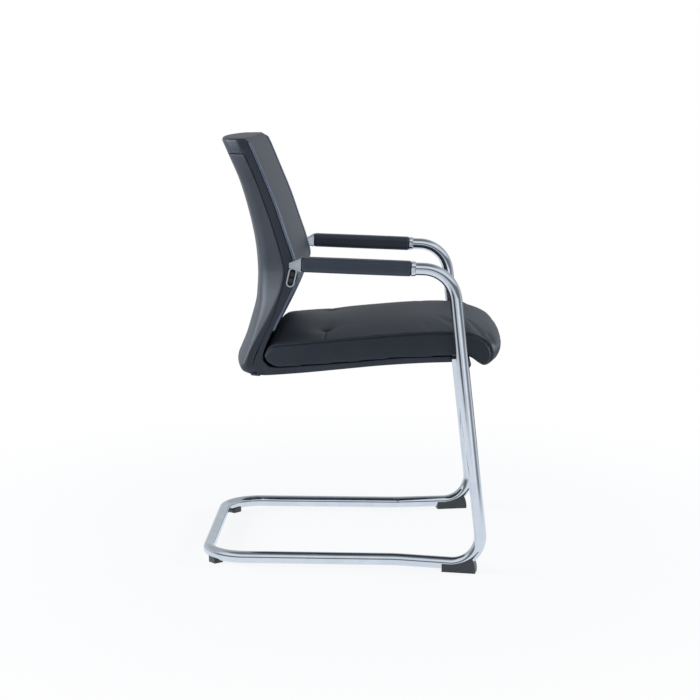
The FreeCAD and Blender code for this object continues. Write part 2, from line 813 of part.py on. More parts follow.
def make_seat_screws():
    return Part.makeCompound([hexagon_screw(seat, normal * -1.0) for seat, normal in all_strap_seats()])


def make_inner_shell():
    shell = extruded(shell_outline(-shell_half_width), -shell_half_width, shell_half_width)
    for seat, normal in all_strap_seats():
        hole = Part.makeCylinder(bolt_diameter / 2.0 + hole_clearance,
                                 strap_thickness + seat_screw_bite + bolt_clearance, seat, normal)
        shell = shell.cut(hole)
    return shell


# Glides

def front_bend_frame():
    """Origin under the front corner, the rail's heading in plan, and its sideways normal."""
    corners = side_corners()
    heading = corners[2] - corners[1]
    heading = Vector(heading.x, heading.y, 0).normalize()
    sideways = up.cross(heading).normalize()
    return Vector(corners[2].x, corners[2].y, 0), heading, sideways


def make_front_glide():
    corner, heading, sideways = front_bend_frame()
    half_width = tube_radius + glide_cheek
    reach = front_forward

    def spot(forward, height):
        return corner + heading * (forward - reach) + up * height - sideways * half_width

    rail_height = front_height + glide_cheek
    bend_start = reach - front_bend_radius * math.tan(math.radians(front_glide_saddle_angle))
    bend_centre = rail_height + front_bend_radius
    angle = math.radians(front_glide_mid_angle)
    bend_through = (bend_start + front_bend_radius * math.sin(angle),
                    bend_centre - front_bend_radius * math.cos(angle))
    edges = [straight(spot(front_glide_rear_forward, 0), spot(front_glide_toe_forward, 0)),
             arc(spot(front_glide_toe_forward, 0),
                 spot(front_glide_toe_forward - front_glide_bow, front_glide_bow_height),
                 spot(front_glide_waist_forward, front_glide_waist_height)),
             straight(spot(front_glide_waist_forward, front_glide_waist_height),
                      spot(front_glide_fin_forward, front_glide_fin_height)),
             arc(spot(front_glide_fin_forward, front_glide_fin_height), spot(*bend_through),
                 spot(bend_start, rail_height)),
             straight(spot(bend_start, rail_height), spot(front_glide_rear_forward, rail_height)),
             straight(spot(front_glide_rear_forward, rail_height), spot(front_glide_rear_forward, 0))]
    block = Part.Face(Part.Wire(edges)).extrude(sideways * (2 * half_width))
    return block.cut(bent_bar(side_corners(), side_radii, groove_radius, groove_sides))


def make_rear_glide():
    """Pad under the middle of the rear corner, with a groove that follows the tube."""
    turn = math.radians(rear_glide_turn)
    bend_forward = rear_bar_forward + rear_corner_radius
    bend_spread = rear_spread - rear_corner_radius
    centre = place(-(bend_spread + rear_corner_radius * math.sin(turn)),
                   bend_forward - rear_corner_radius * math.cos(turn), 0)
    block = Part.makeBox(rear_glide_width, rear_glide_length, rear_glide_height,
                         Vector(-rear_glide_width / 2.0, -rear_glide_length / 2.0, 0))
    upright = [edge for edge in block.Edges if abs(edge.tangentAt(edge.FirstParameter).z) > 0.9]
    block = block.makeFillet(rear_glide_corner, upright)
    block.rotate(middle, up, rear_glide_turn)
    block.translate(centre)
    return block.cut(bent_bar(base_corners(), base_radii, groove_radius, groove_sides))


# Build and export

os.makedirs("parts", exist_ok=True)

save("base_tube", bent_tube(base_corners(), base_radii))
save_sides("side_tube", bent_tube(side_corners(), side_radii))
save("seat_cross_tube", make_cross_tube())
save_sides("seat_strap", make_strap())
save("seat_screws", make_seat_screws())

ahead_of_shell = region_ahead(shell_half_width + tube_diameter * 2)
behind_shell = region_behind(shell_half_width + tube_diameter * 2)
back_cushion = make_back_cushion(behind_shell)
block_room = mount_block_blank(block_room_clearance)
save("inner_shell", make_inner_shell().cut(block_room).cut(mirrored(block_room)))
save("back_outer_shell", make_tray(ahead_of_shell))
save("back_top_cap", make_top_cap(ahead_of_shell))
save("back_cushion", back_cushion.cut(block_room).cut(mirrored(block_room)))
save("seat_cushion", make_seat_cushion())

save_sides("arm_pad", make_arm_pad())
save_both("arm_collars", make_collar())
save_sides("arm_bracket", make_bracket())
save_both("bracket_bolts", make_bracket_bolts())
save_sides("mount_block", make_mount_block())
save_both("front_glides", make_front_glide())
save_both("rear_glides", make_rear_glide())
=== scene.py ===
import json
import math

import bmesh
import bpy
import numpy as np
from mathutils import Matrix, Vector

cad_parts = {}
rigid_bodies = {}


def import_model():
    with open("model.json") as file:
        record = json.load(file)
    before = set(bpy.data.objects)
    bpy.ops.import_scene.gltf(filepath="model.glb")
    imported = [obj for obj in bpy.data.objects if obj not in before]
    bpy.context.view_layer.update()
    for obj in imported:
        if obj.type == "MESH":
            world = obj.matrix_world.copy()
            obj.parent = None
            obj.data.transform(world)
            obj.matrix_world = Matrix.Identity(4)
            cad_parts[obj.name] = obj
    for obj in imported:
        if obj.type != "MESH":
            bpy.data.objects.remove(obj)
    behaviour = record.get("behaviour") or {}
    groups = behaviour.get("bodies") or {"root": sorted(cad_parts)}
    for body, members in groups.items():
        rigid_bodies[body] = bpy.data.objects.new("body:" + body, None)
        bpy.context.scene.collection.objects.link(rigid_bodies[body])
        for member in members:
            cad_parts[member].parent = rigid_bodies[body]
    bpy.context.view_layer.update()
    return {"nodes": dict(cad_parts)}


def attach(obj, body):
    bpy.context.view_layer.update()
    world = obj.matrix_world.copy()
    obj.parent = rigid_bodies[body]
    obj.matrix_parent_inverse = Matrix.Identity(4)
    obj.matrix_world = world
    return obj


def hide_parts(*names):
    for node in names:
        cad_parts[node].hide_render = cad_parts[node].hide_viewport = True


# A cantilever visitor chair. Metres; X across (the sitter's right is -X), -Y to the front, Z up.
# Outlines are given in millimetres as "forward" (in front of the origin) and "height".

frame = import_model()
mm = 0.001
farFromSeam = 0.05


def place(spread, forward, height):
    # Points from millimetres across, forward and up: (spread, -forward, height) / 1000.
    spread, forward, height = np.broadcast_arrays(spread, forward, height)
    return np.stack([spread, -forward, height], axis=-1) * mm


def unit(vector):
    return vector / np.linalg.norm(vector, axis=-1, keepdims=True)


def turned(vector, axis, angles):
    # Rodrigues: v cos a + (k x v) sin a + k (k.v)(1 - cos a), for a column of angles.
    cosine, sine = np.cos(angles)[:, None], np.sin(angles)[:, None]
    return vector * cosine + np.cross(axis, vector) * sine + axis * np.dot(axis, vector) * (1 - cosine)


def lineValue(line, at):
    # Smooth line through (station, value) pairs: cubic Hermite, slopes from the neighbours on both sides.
    pairs = np.array(sorted(line), float)
    x, y = pairs[:, 0], pairs[:, 1]
    low, high = np.maximum(np.arange(len(x)) - 1, 0), np.minimum(np.arange(len(x)) + 1, len(x) - 1)
    slope = (y[high] - y[low]) / (x[high] - x[low])
    at = np.asarray(at, float)
    k = np.clip(np.searchsorted(x, at) - 1, 0, len(x) - 2)
    span = x[k + 1] - x[k]
    t = np.clip((at - x[k]) / span, 0, 1)
    inside = (y[k] * (1 + 2 * t) * (1 - t) ** 2 + y[k + 1] * t * t * (3 - 2 * t)
              + slope[k] * span * t * (1 - t) ** 2 - slope[k + 1] * span * t * t * (1 - t))
    beyond = slope[0] * np.minimum(at - x[0], 0) + slope[-1] * np.maximum(at - x[-1], 0)
    return inside + beyond


def smoothStep(low, high, value):
    t = np.clip((value - low) / (high - low), 0, 1)
    return t * t * (3 - 2 * t)


def cleaned(mesh, distance, outward=False, joinLevel=False):
    # Joins points closer than the distance, and turns faces outward or joins level ones where asked.
    build = bmesh.new()
    build.from_mesh(mesh)
    bmesh.ops.remove_doubles(build, verts=build.verts, dist=distance)
    if outward:
        bmesh.ops.recalc_face_normals(build, faces=build.faces)
    if joinLevel:
        bmesh.ops.dissolve_limit(build, angle_limit=math.radians(0.6), verts=build.verts, edges=build.edges)
    build.to_mesh(mesh)
    build.free()
    return mesh


def meshPiece(name, mesh):
    mesh.shade_smooth()
    piece = bpy.data.objects.new(name, mesh)
    bpy.context.scene.collection.objects.link(piece)
    return piece


def gridMesh(name, points, loop=True, ends=True):
    # Quads between neighbouring rows of points[row, column]; columns close on themselves when loop is set,
    # and each end row is closed by one face when ends is set.
    rows, columns = points.shape[:2]
    index = np.arange(rows * columns).reshape(rows, columns)
    after = np.roll(index, -1, axis=1) if loop else index[:, 1:]
    here = index if loop else index[:, :-1]
    faces = np.stack([here[:-1], after[:-1], after[1:], here[1:]], axis=-1).reshape(-1, 4).tolist()
    if ends:
        faces += [index[0][::-1].tolist(), index[-1].tolist()]
    mesh = bpy.data.meshes.new(name)
    mesh.from_pydata(points.reshape(-1, 3).tolist(), [], faces)
    return meshPiece(name, cleaned(mesh, 1e-6, outward=True))


def vertexRows(source, key):
    flat = np.empty(len(source) * 3, np.float32)
    source.foreach_get(key, flat)
    return flat.reshape(-1, 3).astype(float)


def vertexPoints(mesh):
    return vertexRows(mesh.vertices, "co")


def vertexNormals(mesh):
    return vertexRows(mesh.vertex_normals, "vector")


def setVertexPoints(mesh, points):
    mesh.vertices.foreach_set("co", points.astype(np.float32).ravel())
    mesh.update()


def setAttribute(mesh, name, values):
    layer = mesh.attributes.get(name) or mesh.attributes.new(name, "FLOAT", "POINT")
    layer.data.foreach_set("value", values.astype(np.float32))


def seamless(piece):
    # Every point is far from a seam, so the leather finish draws no furrow.
    setAttribute(piece.data, "seam", np.full(len(piece.data.vertices), farFromSeam))


def lineDistance(points, line):
    # Shortest distance from each point to a line of straight pieces, all pairs at once.
    start, step = line[:-1], np.diff(line, axis=0)
    offset = points[:, None, :] - start[None]
    along = np.clip((offset * step).sum(-1) / (step * step).sum(-1), 0, 1)
    return np.linalg.norm(offset - along[..., None] * step, axis=-1).min(axis=1)


def flattened(piece):
    # Applies all modifiers and keeps the result as the piece's own mesh.
    bpy.context.view_layer.update()
    old = piece.data
    piece.data = bpy.data.meshes.new_from_object(piece.evaluated_get(bpy.context.evaluated_depsgraph_get()))
    piece.modifiers.clear()
    bpy.data.meshes.remove(old)


def finishPiece(piece, finish, slotName, *nodes):
    piece.data.materials.clear()
    piece.data.materials.append(finish.owner)
    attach(piece, "root")
    if nodes:
        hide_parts(*nodes)
    return piece


# Shader building: arithmetic on a Signal adds Math nodes to its node tree.

class Signal:
    def __init__(self, finish, socket):
        self.finish, self.socket = finish, socket

    def math(self, operation, first, second):
        return self.finish.node("ShaderNodeMath", {"operation": operation}, {0: first, 1: second})

    def __add__(self, other):
        return self.math("ADD", self, other)

    def __radd__(self, other):
        return self.math("ADD", other, self)

    def __sub__(self, other):
        return self.math("SUBTRACT", self, other)

    def __rsub__(self, other):
        return self.math("SUBTRACT", other, self)

    def __mul__(self, other):
        return self.math("MULTIPLY", self, other)

    def __rmul__(self, other):
        return self.math("MULTIPLY", other, self)

    def fade(self, low, high, atLow=0.0, atHigh=1.0):
        # Smooth change from atLow to atHigh as the signal goes from low to high.
        return self.finish.node("ShaderNodeMapRange", {"interpolation_type": "SMOOTHSTEP"},
                                {"Value": self, "From Min": low, "From Max": high, "To Min": atLow, "To Max": atHigh})


class Finish:
    # The node tree of a material or of the world.
    def __init__(self, owner):
        owner.use_nodes = True
        self.owner, self.tree = owner, owner.node_tree
        self.tree.nodes.clear()

    def node(self, kind, settings=None, sockets=None, output=0):
        made = self.tree.nodes.new(kind)
        for key, value in (settings or {}).items():
            setattr(made, key, value)
        for key, value in (sockets or {}).items():
            if isinstance(value, Signal):
                self.tree.links.new(value.socket, made.inputs[key])
            else:
                made.inputs[key].default_value = value
        return Signal(self, made.outputs[output])

    def mixColour(self, factor, first, second):
        # The Mix node's colour inputs are its sockets 6 and 7, its colour output is socket 2.
        first, second = (colour if isinstance(colour, Signal) else (*colour, 1.0) for colour in (first, second))
        return self.node("ShaderNodeMix", {"data_type": "RGBA"}, {0: factor, 6: first, 7: second}, 2)

    def place(self, scale=(1, 1, 1)):
        where = self.node("ShaderNodeTexCoord", output="Object")
        return self.node("ShaderNodeMapping", None, {"Vector": where, "Scale": scale})

    def noise(self, scale, detail=2.0, roughness=0.5, where=None):
        return self.node("ShaderNodeTexNoise", None,
                         {"Vector": where or self.place(), "Scale": scale, "Detail": detail, "Roughness": roughness})

    def attribute(self, name):
        return self.node("ShaderNodeAttribute", {"attribute_name": name}, output="Fac")

    def bump(self, height, depth, under=None):
        sockets = {"Height": height, "Distance": depth, "Strength": 1.0}
        if under:
            sockets["Normal"] = under
        return self.node("ShaderNodeBump", None, sockets)

    def surface(self, **sockets):
        named = {key.replace("_", " "): (*value, 1.0) if isinstance(value, tuple) else value
                 for key, value in sockets.items()}
        return self.out(self.node("ShaderNodeBsdfPrincipled", None, named))

    def out(self, shader, kind="ShaderNodeOutputMaterial"):
        end = self.tree.nodes.new(kind)
        self.tree.links.new(shader.socket, end.inputs["Surface"])
        return self


def newFinish(name):
    return Finish(bpy.data.materials.new(name))


leatherLook = {
    "colour": (0.0240, 0.0288, 0.0395),
    "worn": (0.0300, 0.0355, 0.0480),
    "grainSize": 1150.0,
    "grainDepth": 0.00005,
    "creaseSize": 60.0,
    "creaseDepth": 0.00012,
    "driftSize": 9.0,
    "roughness": 0.46,
    "ior": 1.38,
    "seamWidth": 0.0011,
    "seamDepth": 0.0008,
    # Share of the colour kept in a seam's furrow: painted shade.
    "seamPaintedShade": 0.3,
}
chromeLook = {
    "dark": (0.70, 0.735, 0.79),
    "light": (0.77, 0.795, 0.84),
    "hazeSize": 35.0,
    "scuffSize": 900.0,
    "waveSize": 18.0,
    "waveDepth": 0.000008,
}


def toned(colour, factor):
    return tuple(factor * part for part in colour)


def leather(name, look):
    # Pebble grain from cell distances, wide tone drift, pulled creases, and painted shade in a furrow where "seam" is
    # small.
    finish = newFinish(name)
    cells = finish.node("ShaderNodeTexVoronoi", {"feature": "SMOOTH_F1"},
                        {"Vector": finish.place(), "Scale": look["grainSize"], "Smoothness": 0.35})
    pores = finish.noise(look["grainSize"] * 2.1, 2.0)
    drift = finish.noise(look["driftSize"], 3.0, 0.55)
    creases = finish.noise(look["creaseSize"], 4.0, 0.6, finish.place((1.0, 1.6, 1.0)))
    seam = finish.attribute("seam")
    furrow = seam.fade(0.0, look["seamWidth"])
    colour = finish.mixColour(drift.fade(0.35, 0.65), look["colour"], look["worn"])
    # Painted shade: the colour darkens where "seam" is small, standing in for the shadow in the seam's furrow.
    colour = finish.mixColour(furrow, toned(look["colour"], look["seamPaintedShade"]), colour)
    grain = cells * -0.8 + pores * 0.25
    normal = finish.bump(seam.fade(0.0, look["seamWidth"] * 2.2), look["seamDepth"])
    normal = finish.bump(creases, look["creaseDepth"], normal)
    normal = finish.bump(grain, look["grainDepth"], normal)
    rough = look["roughness"] + (drift - 0.5) * 0.10 + cells * 0.06
    return finish.surface(Base_Color=colour, Roughness=rough, Normal=normal, IOR=look["ior"])


def chrome(name, roughness):
    # Near-mirror metal with a pale haze, fine scuffs along Y and Z, and a faint wave.
    finish = newFinish(name)
    haze = finish.noise(chromeLook["hazeSize"], 3.0, 0.6)
    scuffs = finish.noise(chromeLook["scuffSize"], 2.0, 0.5, finish.place((1.0, 0.15, 0.15)))
    rough = roughness + haze.fade(0.45, 0.8) * 0.03 + scuffs.fade(0.62, 0.8) * 0.05
    colour = finish.mixColour(haze.fade(0.3, 0.7), chromeLook["dark"], chromeLook["light"])
    normal = finish.bump(finish.noise(chromeLook["waveSize"], 2.0), chromeLook["waveDepth"])
    return finish.surface(Base_Color=colour, Metallic=1.0, Roughness=rough, Normal=normal)


def steel(name, colour, roughness):
    # Metal brushed along X, with darker stains.
    finish = newFinish(name)
    brush = finish.noise(700.0, 3.0, 0.6, finish.place((0.2, 1.0, 1.0)))
    stain = finish.noise(45.0, 3.0)
    tone = finish.mixColour(stain.fade(0.4, 0.75), colour, toned(colour, 0.72))
    return finish.surface(Base_Color=tone, Metallic=1.0, Roughness=roughness + brush * 0.12,
                          Normal=finish.bump(brush, 0.00002))


def paint(name, colour, roughness):
    # Orange-peel paint with pale dust.
    finish = newFinish(name)
    peel = finish.noise(420.0, 2.0)
    dust = finish.noise(30.0, 4.0)
    tone = finish.mixColour(dust.fade(0.45, 0.8), colour, toned(colour, 1.5))
    return finish.surface(Base_Color=tone, Roughness=roughness + dust * 0.15, Normal=finish.bump(peel, 0.00005))


def mouldedPlastic(name, colour, roughness):
    # Spark-eroded grain from cell distances, with a cloudy tone.
    finish = newFinish(name)
    spark = finish.node("ShaderNodeTexVoronoi", None, {"Vector": finish.place(), "Scale": 1600.0})
    cloud = finish.noise(55.0, 3.0)
    tone = finish.mixColour(cloud.fade(0.35, 0.75), colour, toned(colour, 1.35))
    return finish.surface(Base_Color=tone, Roughness=roughness + cloud * 0.12, Normal=finish.bump(spark, 0.00004))


wrapLook = dict(leatherLook, roughness=0.40, creaseDepth=0.00006, ior=1.46)


def paler(factor):
    # The wrapping leather's look with both its tones brightened.
    return dict(wrapLook, colour=toned(wrapLook["colour"], factor), worn=toned(wrapLook["worn"], factor))


softLeather = leather("softLeather", leatherLook)
wrapLeather = leather("wrapLeather", wrapLook)
bandLeather = leather("bandLeather", dict(wrapLook, colour=toned(wrapLook["colour"], 1.35), roughness=0.46))
armLeather = leather("armLeather", dict(paler(1.75), roughness=0.46))
# The cord's colour is lightened far past the leather's own: a painted highlight along the piping.
paintedHighlightCord = leather("paintedHighlightCord", dict(paler(4.2), roughness=0.30, ior=1.55))
tubeChrome = chrome("tubeChrome", 0.05)
trimChrome = chrome("trimChrome", 0.08)
blackPaint = paint("blackPaint", (0.018, 0.018, 0.020), 0.40)
zincSteel = steel("zincSteel", (0.42, 0.42, 0.43), 0.30)
glidePlastic = mouldedPlastic("glidePlastic", (0.040, 0.042, 0.046), 0.42)
print("finishes made")


# Chrome frame

tube = {
    "diameter": 25.0,
    "rearBar": (238.0, -301.5, 19.6),
    "rearRadius": 82.0,
    "kink": (240.0, 91.5, 17.6),
    "kinkRadius": 160.0,
    "front": (272.7, 271.0, 15.8),
    "frontRadius": 60.0,
    "armFront": (268.5, 203.5, 619.1),
    "armRadius": 67.0,
    "armEnd": (268.5, -98.0, 630.0),
    "sides": 56,
    "stepDegrees": 3.0,
}
crossTube = {
    "diameter": 19.0,
    "reach": 268.0,
    "forward": 232.0,
    "height": 430.0,
    "sides": 40,
}


def bentLine(corners, radii, stepDegrees):
    # Straight runs and tangent arcs: each arc turns the run's heading and side about the arc's own axis.
    corners = np.array(corners, float)
    heading = unit(corners[1] - corners[0])
    side = unit(np.cross(heading, [0.0, 0.0, 1.0]))
    points, headings, sides = [corners[:1]], [heading[None]], [side[None]]
    for corner, following, radius in zip(corners[1:], corners[2:], radii):
        ahead = unit(following - corner)
        turn = math.acos(np.clip(heading @ ahead, -1, 1))
        axis = unit(np.cross(heading, ahead))
        start = corner - heading * radius * math.tan(turn / 2)
        centre = start + np.cross(axis, heading) * radius
        angles = np.linspace(0, turn, max(3, int(math.degrees(turn) / stepDegrees) + 1))
        points.append(centre + turned(start - centre, axis, angles))
        headings.append(turned(heading, axis, angles))
        sides.append(turned(side, axis, angles))
        heading, side = headings[-1][-1], sides[-1][-1]
    points.append(corners[-1:])
    headings.append(heading[None])
    sides.append(side[None])
    return np.concatenate(points), np.concatenate(headings), np.concatenate(sides)


def roundBar(name, line, radius, count):
    # Circle carried along the line: centre + r (side cos a + rise sin a), with a from 0 to one turn.
    points, headings, sides = line
    rises = np.cross(headings, sides)
    angle = np.linspace(0, 2 * math.pi, count, endpoint=False)[None, :, None]
    ring = sides[:, None] * np.cos(angle) + rises[:, None] * np.sin(angle)
    return gridMesh(name, points[:, None] + radius * ring)


def makeFrameTube():
    # One round bar from arm to arm: arm, front leg, rail and rear bar of the right side, then back up the left.
    half = [tube["armEnd"], tube["armFront"], tube["front"], tube["kink"], tube["rearBar"]]
    right = [place(-s, f, h) for s, f, h in half]
    left = [place(s, f, h) for s, f, h in reversed(half)]
    radii = [tube["armRadius"], tube["frontRadius"], tube["kinkRadius"], tube["rearRadius"]]
    line = bentLine(right + left, [r * mm for r in radii + radii[::-1]], tube["stepDegrees"])
    piece = roundBar("frameTube", line, tube["diameter"] / 2 * mm, tube["sides"])
    finishPiece(piece, tubeChrome, "chrome_tube", "base_tube", "side_tube_right", "side_tube_left")


def makeCrossTube():
    ends = [place(side * crossTube["reach"], crossTube["forward"], crossTube["height"]) for side in (-1, 1)]
    piece = roundBar("crossTube", bentLine(ends, [], tube["stepDegrees"]), crossTube["diameter"] / 2 * mm,
                     crossTube["sides"])
    finishPiece(piece, blackPaint, "dark_steel", "seat_cross_tube")


makeFrameTube()
makeCrossTube()
print("frame tube made")


# Pieces that keep the solid's own shape, with softened edges

def dressedCopy(name, node, finish, slotName, bevel):
    # The solid's own skin, its level facets joined and its edges rounded by the bevel in millimetres.
    mesh = cleaned(frame["nodes"][node].data.copy(), 1e-5, joinLevel=True)
    piece = meshPiece(name, mesh)
    mesh.set_sharp_from_angle(angle=math.radians(32))
    edge = piece.modifiers.new("softEdge", "BEVEL")
    edge.width, edge.segments, edge.limit_method = bevel * mm, 2, "ANGLE"
    edge.angle_limit, edge.use_clamp_overlap = math.radians(35), True
    return finishPiece(piece, finish, slotName, node)


recess = {
    "forward": -119.0,
    "height": 601.5,
    "lean": 13.0,
    "halfLength": 11.5,
    "radius": 6.1,
    "mouth": 253.6,
    # The dark inside the slot, also painted on its chrome walls as shade.
    "paint": (0.020, 0.021, 0.023),
}


def markRecess(piece):
    # 1 inside the round-ended slot: closer to its leaning middle line than its radius, and below its mouth.
    points = vertexPoints(piece.data) / mm
    lean = math.radians(recess["lean"])
    f, h = -points[:, 1] - recess["forward"], points[:, 2] - recess["height"]
    along, off = h * math.cos(lean) + f * math.sin(lean), h * math.sin(lean) - f * math.cos(lean)
    distance = np.hypot(np.maximum(np.abs(along) - recess["halfLength"], 0), off)
    inside = (distance < recess["radius"]) & (np.abs(points[:, 0]) < recess["mouth"])
    setAttribute(piece.data, "recess", inside)


def bracketChrome():
    # Chrome outside, dark inside the slot: a black plate at its floor, and painted shade on the slot's chrome walls.
    finish = newFinish("bracketChrome")
    inside = finish.attribute("recess").fade(0.3, 0.7)
    haze = finish.noise(chromeLook["hazeSize"], 3.0, 0.6)
    colour = finish.mixColour(haze, (0.60, 0.63, 0.68), (0.70, 0.73, 0.78))
    colour = finish.mixColour(inside, colour, recess["paint"])
    return finish.surface(Base_Color=colour, Metallic=1 - inside, Roughness=0.24 + inside * 0.25)


bracketFinish = bracketChrome()
darkBolt = steel("darkBolt", (0.10, 0.10, 0.105), 0.30)
for sideName in ("right", "left"):
    markRecess(dressedCopy("armBracket" + sideName.title(), "arm_bracket_" + sideName, bracketFinish, "chrome_trim",
                           0.35))
    dressedCopy("seatStrap" + sideName.title(), "seat_strap_" + sideName, blackPaint, "dark_steel", 0.5)
    dressedCopy("mountBlock" + sideName.title(), "mount_block_" + sideName, zincSteel, "bolt_steel", 0.4)
dressedCopy("bracketBolts", "bracket_bolts", darkBolt, "bolt_steel", 0.3)
dressedCopy("seatScrews", "seat_screws", zincSteel, "bolt_steel", 0.3)
dressedCopy("frontGlides", "front_glides", glidePlastic, "glide_plastic", 0.8)
dressedCopy("rearGlides", "rear_glides", glidePlastic, "glide_plastic", 0.8)
print("brackets, bolts, straps and glides dressed")


# Arm pads and collars

# Collar rows are (along the arm from the pad's end, width, height).
arm = {
    "padFront": 120.5,
    "padWidth": 38.3,
    "padHeight": 29.3,
    "padCorner": 9.0,
    "endTuck": 1.9,
    "endReach": 2.6,
    "endRings": [7.0, 3.6],
    "swell": 0.35,
    "ripple": 0.12,
    "slopeCosine": 0.99935,
    "gap": 0.2,
    "collarCorner": 10.5,
    "collarRows": [(0.0, 26.0, 26.0), (0.0, 37.2, 28.2), (0.5, 38.0, 29.0), (7.2, 33.6, 27.7), (8.3, 32.7, 27.1),
                   (8.9, 31.2, 26.3), (9.0, 30.6, 25.9), (9.0, 25.4, 25.4)],
}
padLength = (arm["padFront"] - tube["armEnd"][1]) / arm["slopeCosine"]


def roundedLoop(width, height, radius, arcCount=9, sideCount=7):
    # Closed loop of (across, up) points round a rectangle with circular corners, arrays for all rows at once.
    width, height, radius = (np.atleast_1d(np.asarray(v, float))[:, None] for v in (width, height, radius))
    arcs = []
    for quarter, (a, b) in enumerate(((1, 1), (-1, 1), (-1, -1), (1, -1))):
        angle = np.linspace(0, math.pi / 2, arcCount)[None] + quarter * math.pi / 2
        arcs.append((a * (width / 2 - radius) + radius * np.cos(angle),
                     b * (height / 2 - radius) + radius * np.sin(angle)))
    share = np.linspace(0, 1, sideCount + 2)[None, 1:-1]
    loopA, loopB = [], []
    for (a, b), (nextA, nextB) in zip(arcs, arcs[1:] + arcs[:1]):
        loopA += [a, a[:, -1:] * (1 - share) + nextA[:, :1] * share]
        loopB += [b, b[:, -1:] * (1 - share) + nextB[:, :1] * share]
    return np.concatenate(loopA, axis=1), np.concatenate(loopB, axis=1)


def armAxis():
    # The right arm's end, its heading and the upward direction across it.
    end, front = (place(-s, f, h) for s, f, h in (tube["armEnd"], tube["armFront"]))
    along = unit(front - end)
    return end, along, unit(np.cross(along, [1.0, 0.0, 0.0]))


def armSleeve(name, sideSign, stations, widths, heights, corner):
    # Rounded rectangle of the given widths and heights at stations along the arm, mirrored for the left side.
    end, along, rise = armAxis()
    a, b = roundedLoop(widths, heights, np.minimum(corner, np.asarray(heights) / 2.05))
    centre = end + along * (np.asarray(stations) * mm)[:, None]
    points = centre[:, None] + (a[..., None] * [1.0, 0.0, 0.0] + b[..., None] * rise) * mm
    points[..., 0] *= sideSign
    return gridMesh(name, points)


def makeArmPad(sideName, sideSign):
    # Sleeve with quarter-round ends: tuck (1 - sqrt(1 - (1 - d / reach)^2)), plus a slight swell and end ripples.
    s = np.linspace(0, padLength, 74)
    fromEnd = np.minimum(s, padLength - s)
    tuck = arm["endTuck"] * (1 - np.sqrt(np.clip(1 - (1 - np.clip(fromEnd / arm["endReach"], 0, 1)) ** 2, 0, 1)))
    swell = arm["swell"] * np.sin(s / padLength * math.pi) + arm["ripple"] * np.sin(s / 9.0) * np.exp(-fromEnd / 14.0)
    rings, still = arm["endRings"], [0, 0]
    s = np.concatenate([still, s, [padLength, padLength]])
    tuck = np.concatenate([rings, tuck, rings[::-1]])
    swell = np.concatenate([still, swell, still])
    piece = armSleeve("armPad" + sideName, sideSign, s, arm["padWidth"] - 2 * tuck + swell,
                      arm["padHeight"] - 2 * tuck + swell, arm["padCorner"])
    end, along, rise = armAxis()
    local = vertexPoints(piece.data) - end * [sideSign, 1, 1]
    # The leather closes in a seam under the arm.
    setAttribute(piece.data, "seam", np.where(local @ rise < 0, np.abs(local[:, 0]), farFromSeam))
    finishPiece(piece, armLeather, "wrapped_leather", "arm_pad_" + sideName.lower())


def makeArmCollars():
    stations, widths, heights = np.array(arm["collarRows"]).T
    stations = padLength + arm["gap"] + stations
    pieces = [armSleeve("armCollar" + sideName, sideSign, stations, widths, heights, arm["collarCorner"])
              for sideName, sideSign in (("Right", 1), ("Left", -1))]
    for piece in pieces:
        piece.data.set_sharp_from_angle(angle=math.radians(40))
        finishPiece(piece, trimChrome, "chrome_trim")
    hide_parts("arm_collars")


makeArmPad("Right", 1)
makeArmPad("Left", -1)
makeArmCollars()
print("arm rests made")


# The L-shaped inner shell and the back

# Side lines are (forward, height) pairs. "end" is the last station of the section before its half-round end.
shell = {
    "halfWidth": 240.0,
    "sidePlay": 0.4,
    "edgeRadius": 2.2,
    "bandDepth": 3.0,
    "bandFoot": (488.0, 530.0),
    "end": 2.977,
    "endHeight": 864.5,
    "endLean": 0.42,
    "front": 204.0,
    "top": 872.0,
    "panOuter": [(204.0, 429.0), (139.0, 426.5), (59.0, 421.0), (-22.0, 413.0), (-103.0, 405.0), (-176.0, 400.0)],
    "panInner": [(204.0, 441.0), (99.0, 437.0), (-2.0, 427.5), (-103.0, 419.5), (-152.0, 416.0)],
    "heelOuter": [(-192.0, 407.0), (-199.0, 423.0)],
    "heelInner": [(-172.0, 424.0), (-178.5, 442.0)],
    "backOuter": [(-180.0, 473.0), (-160.5, 514.0), (-147.0, 554.0), (-136.5, 588.0), (-135.5, 615.0),
                  (-143.5, 653.0), (-160.0, 707.0), (-191.5, 795.0), (-225.5, 872.0)],
    "backInner": [(-168.0, 473.0), (-150.5, 514.0), (-137.5, 554.0), (-126.5, 588.0), (-125.5, 615.0),
                  (-133.5, 653.0), (-150.0, 707.0), (-181.5, 795.0), (-215.5, 872.0)],
}
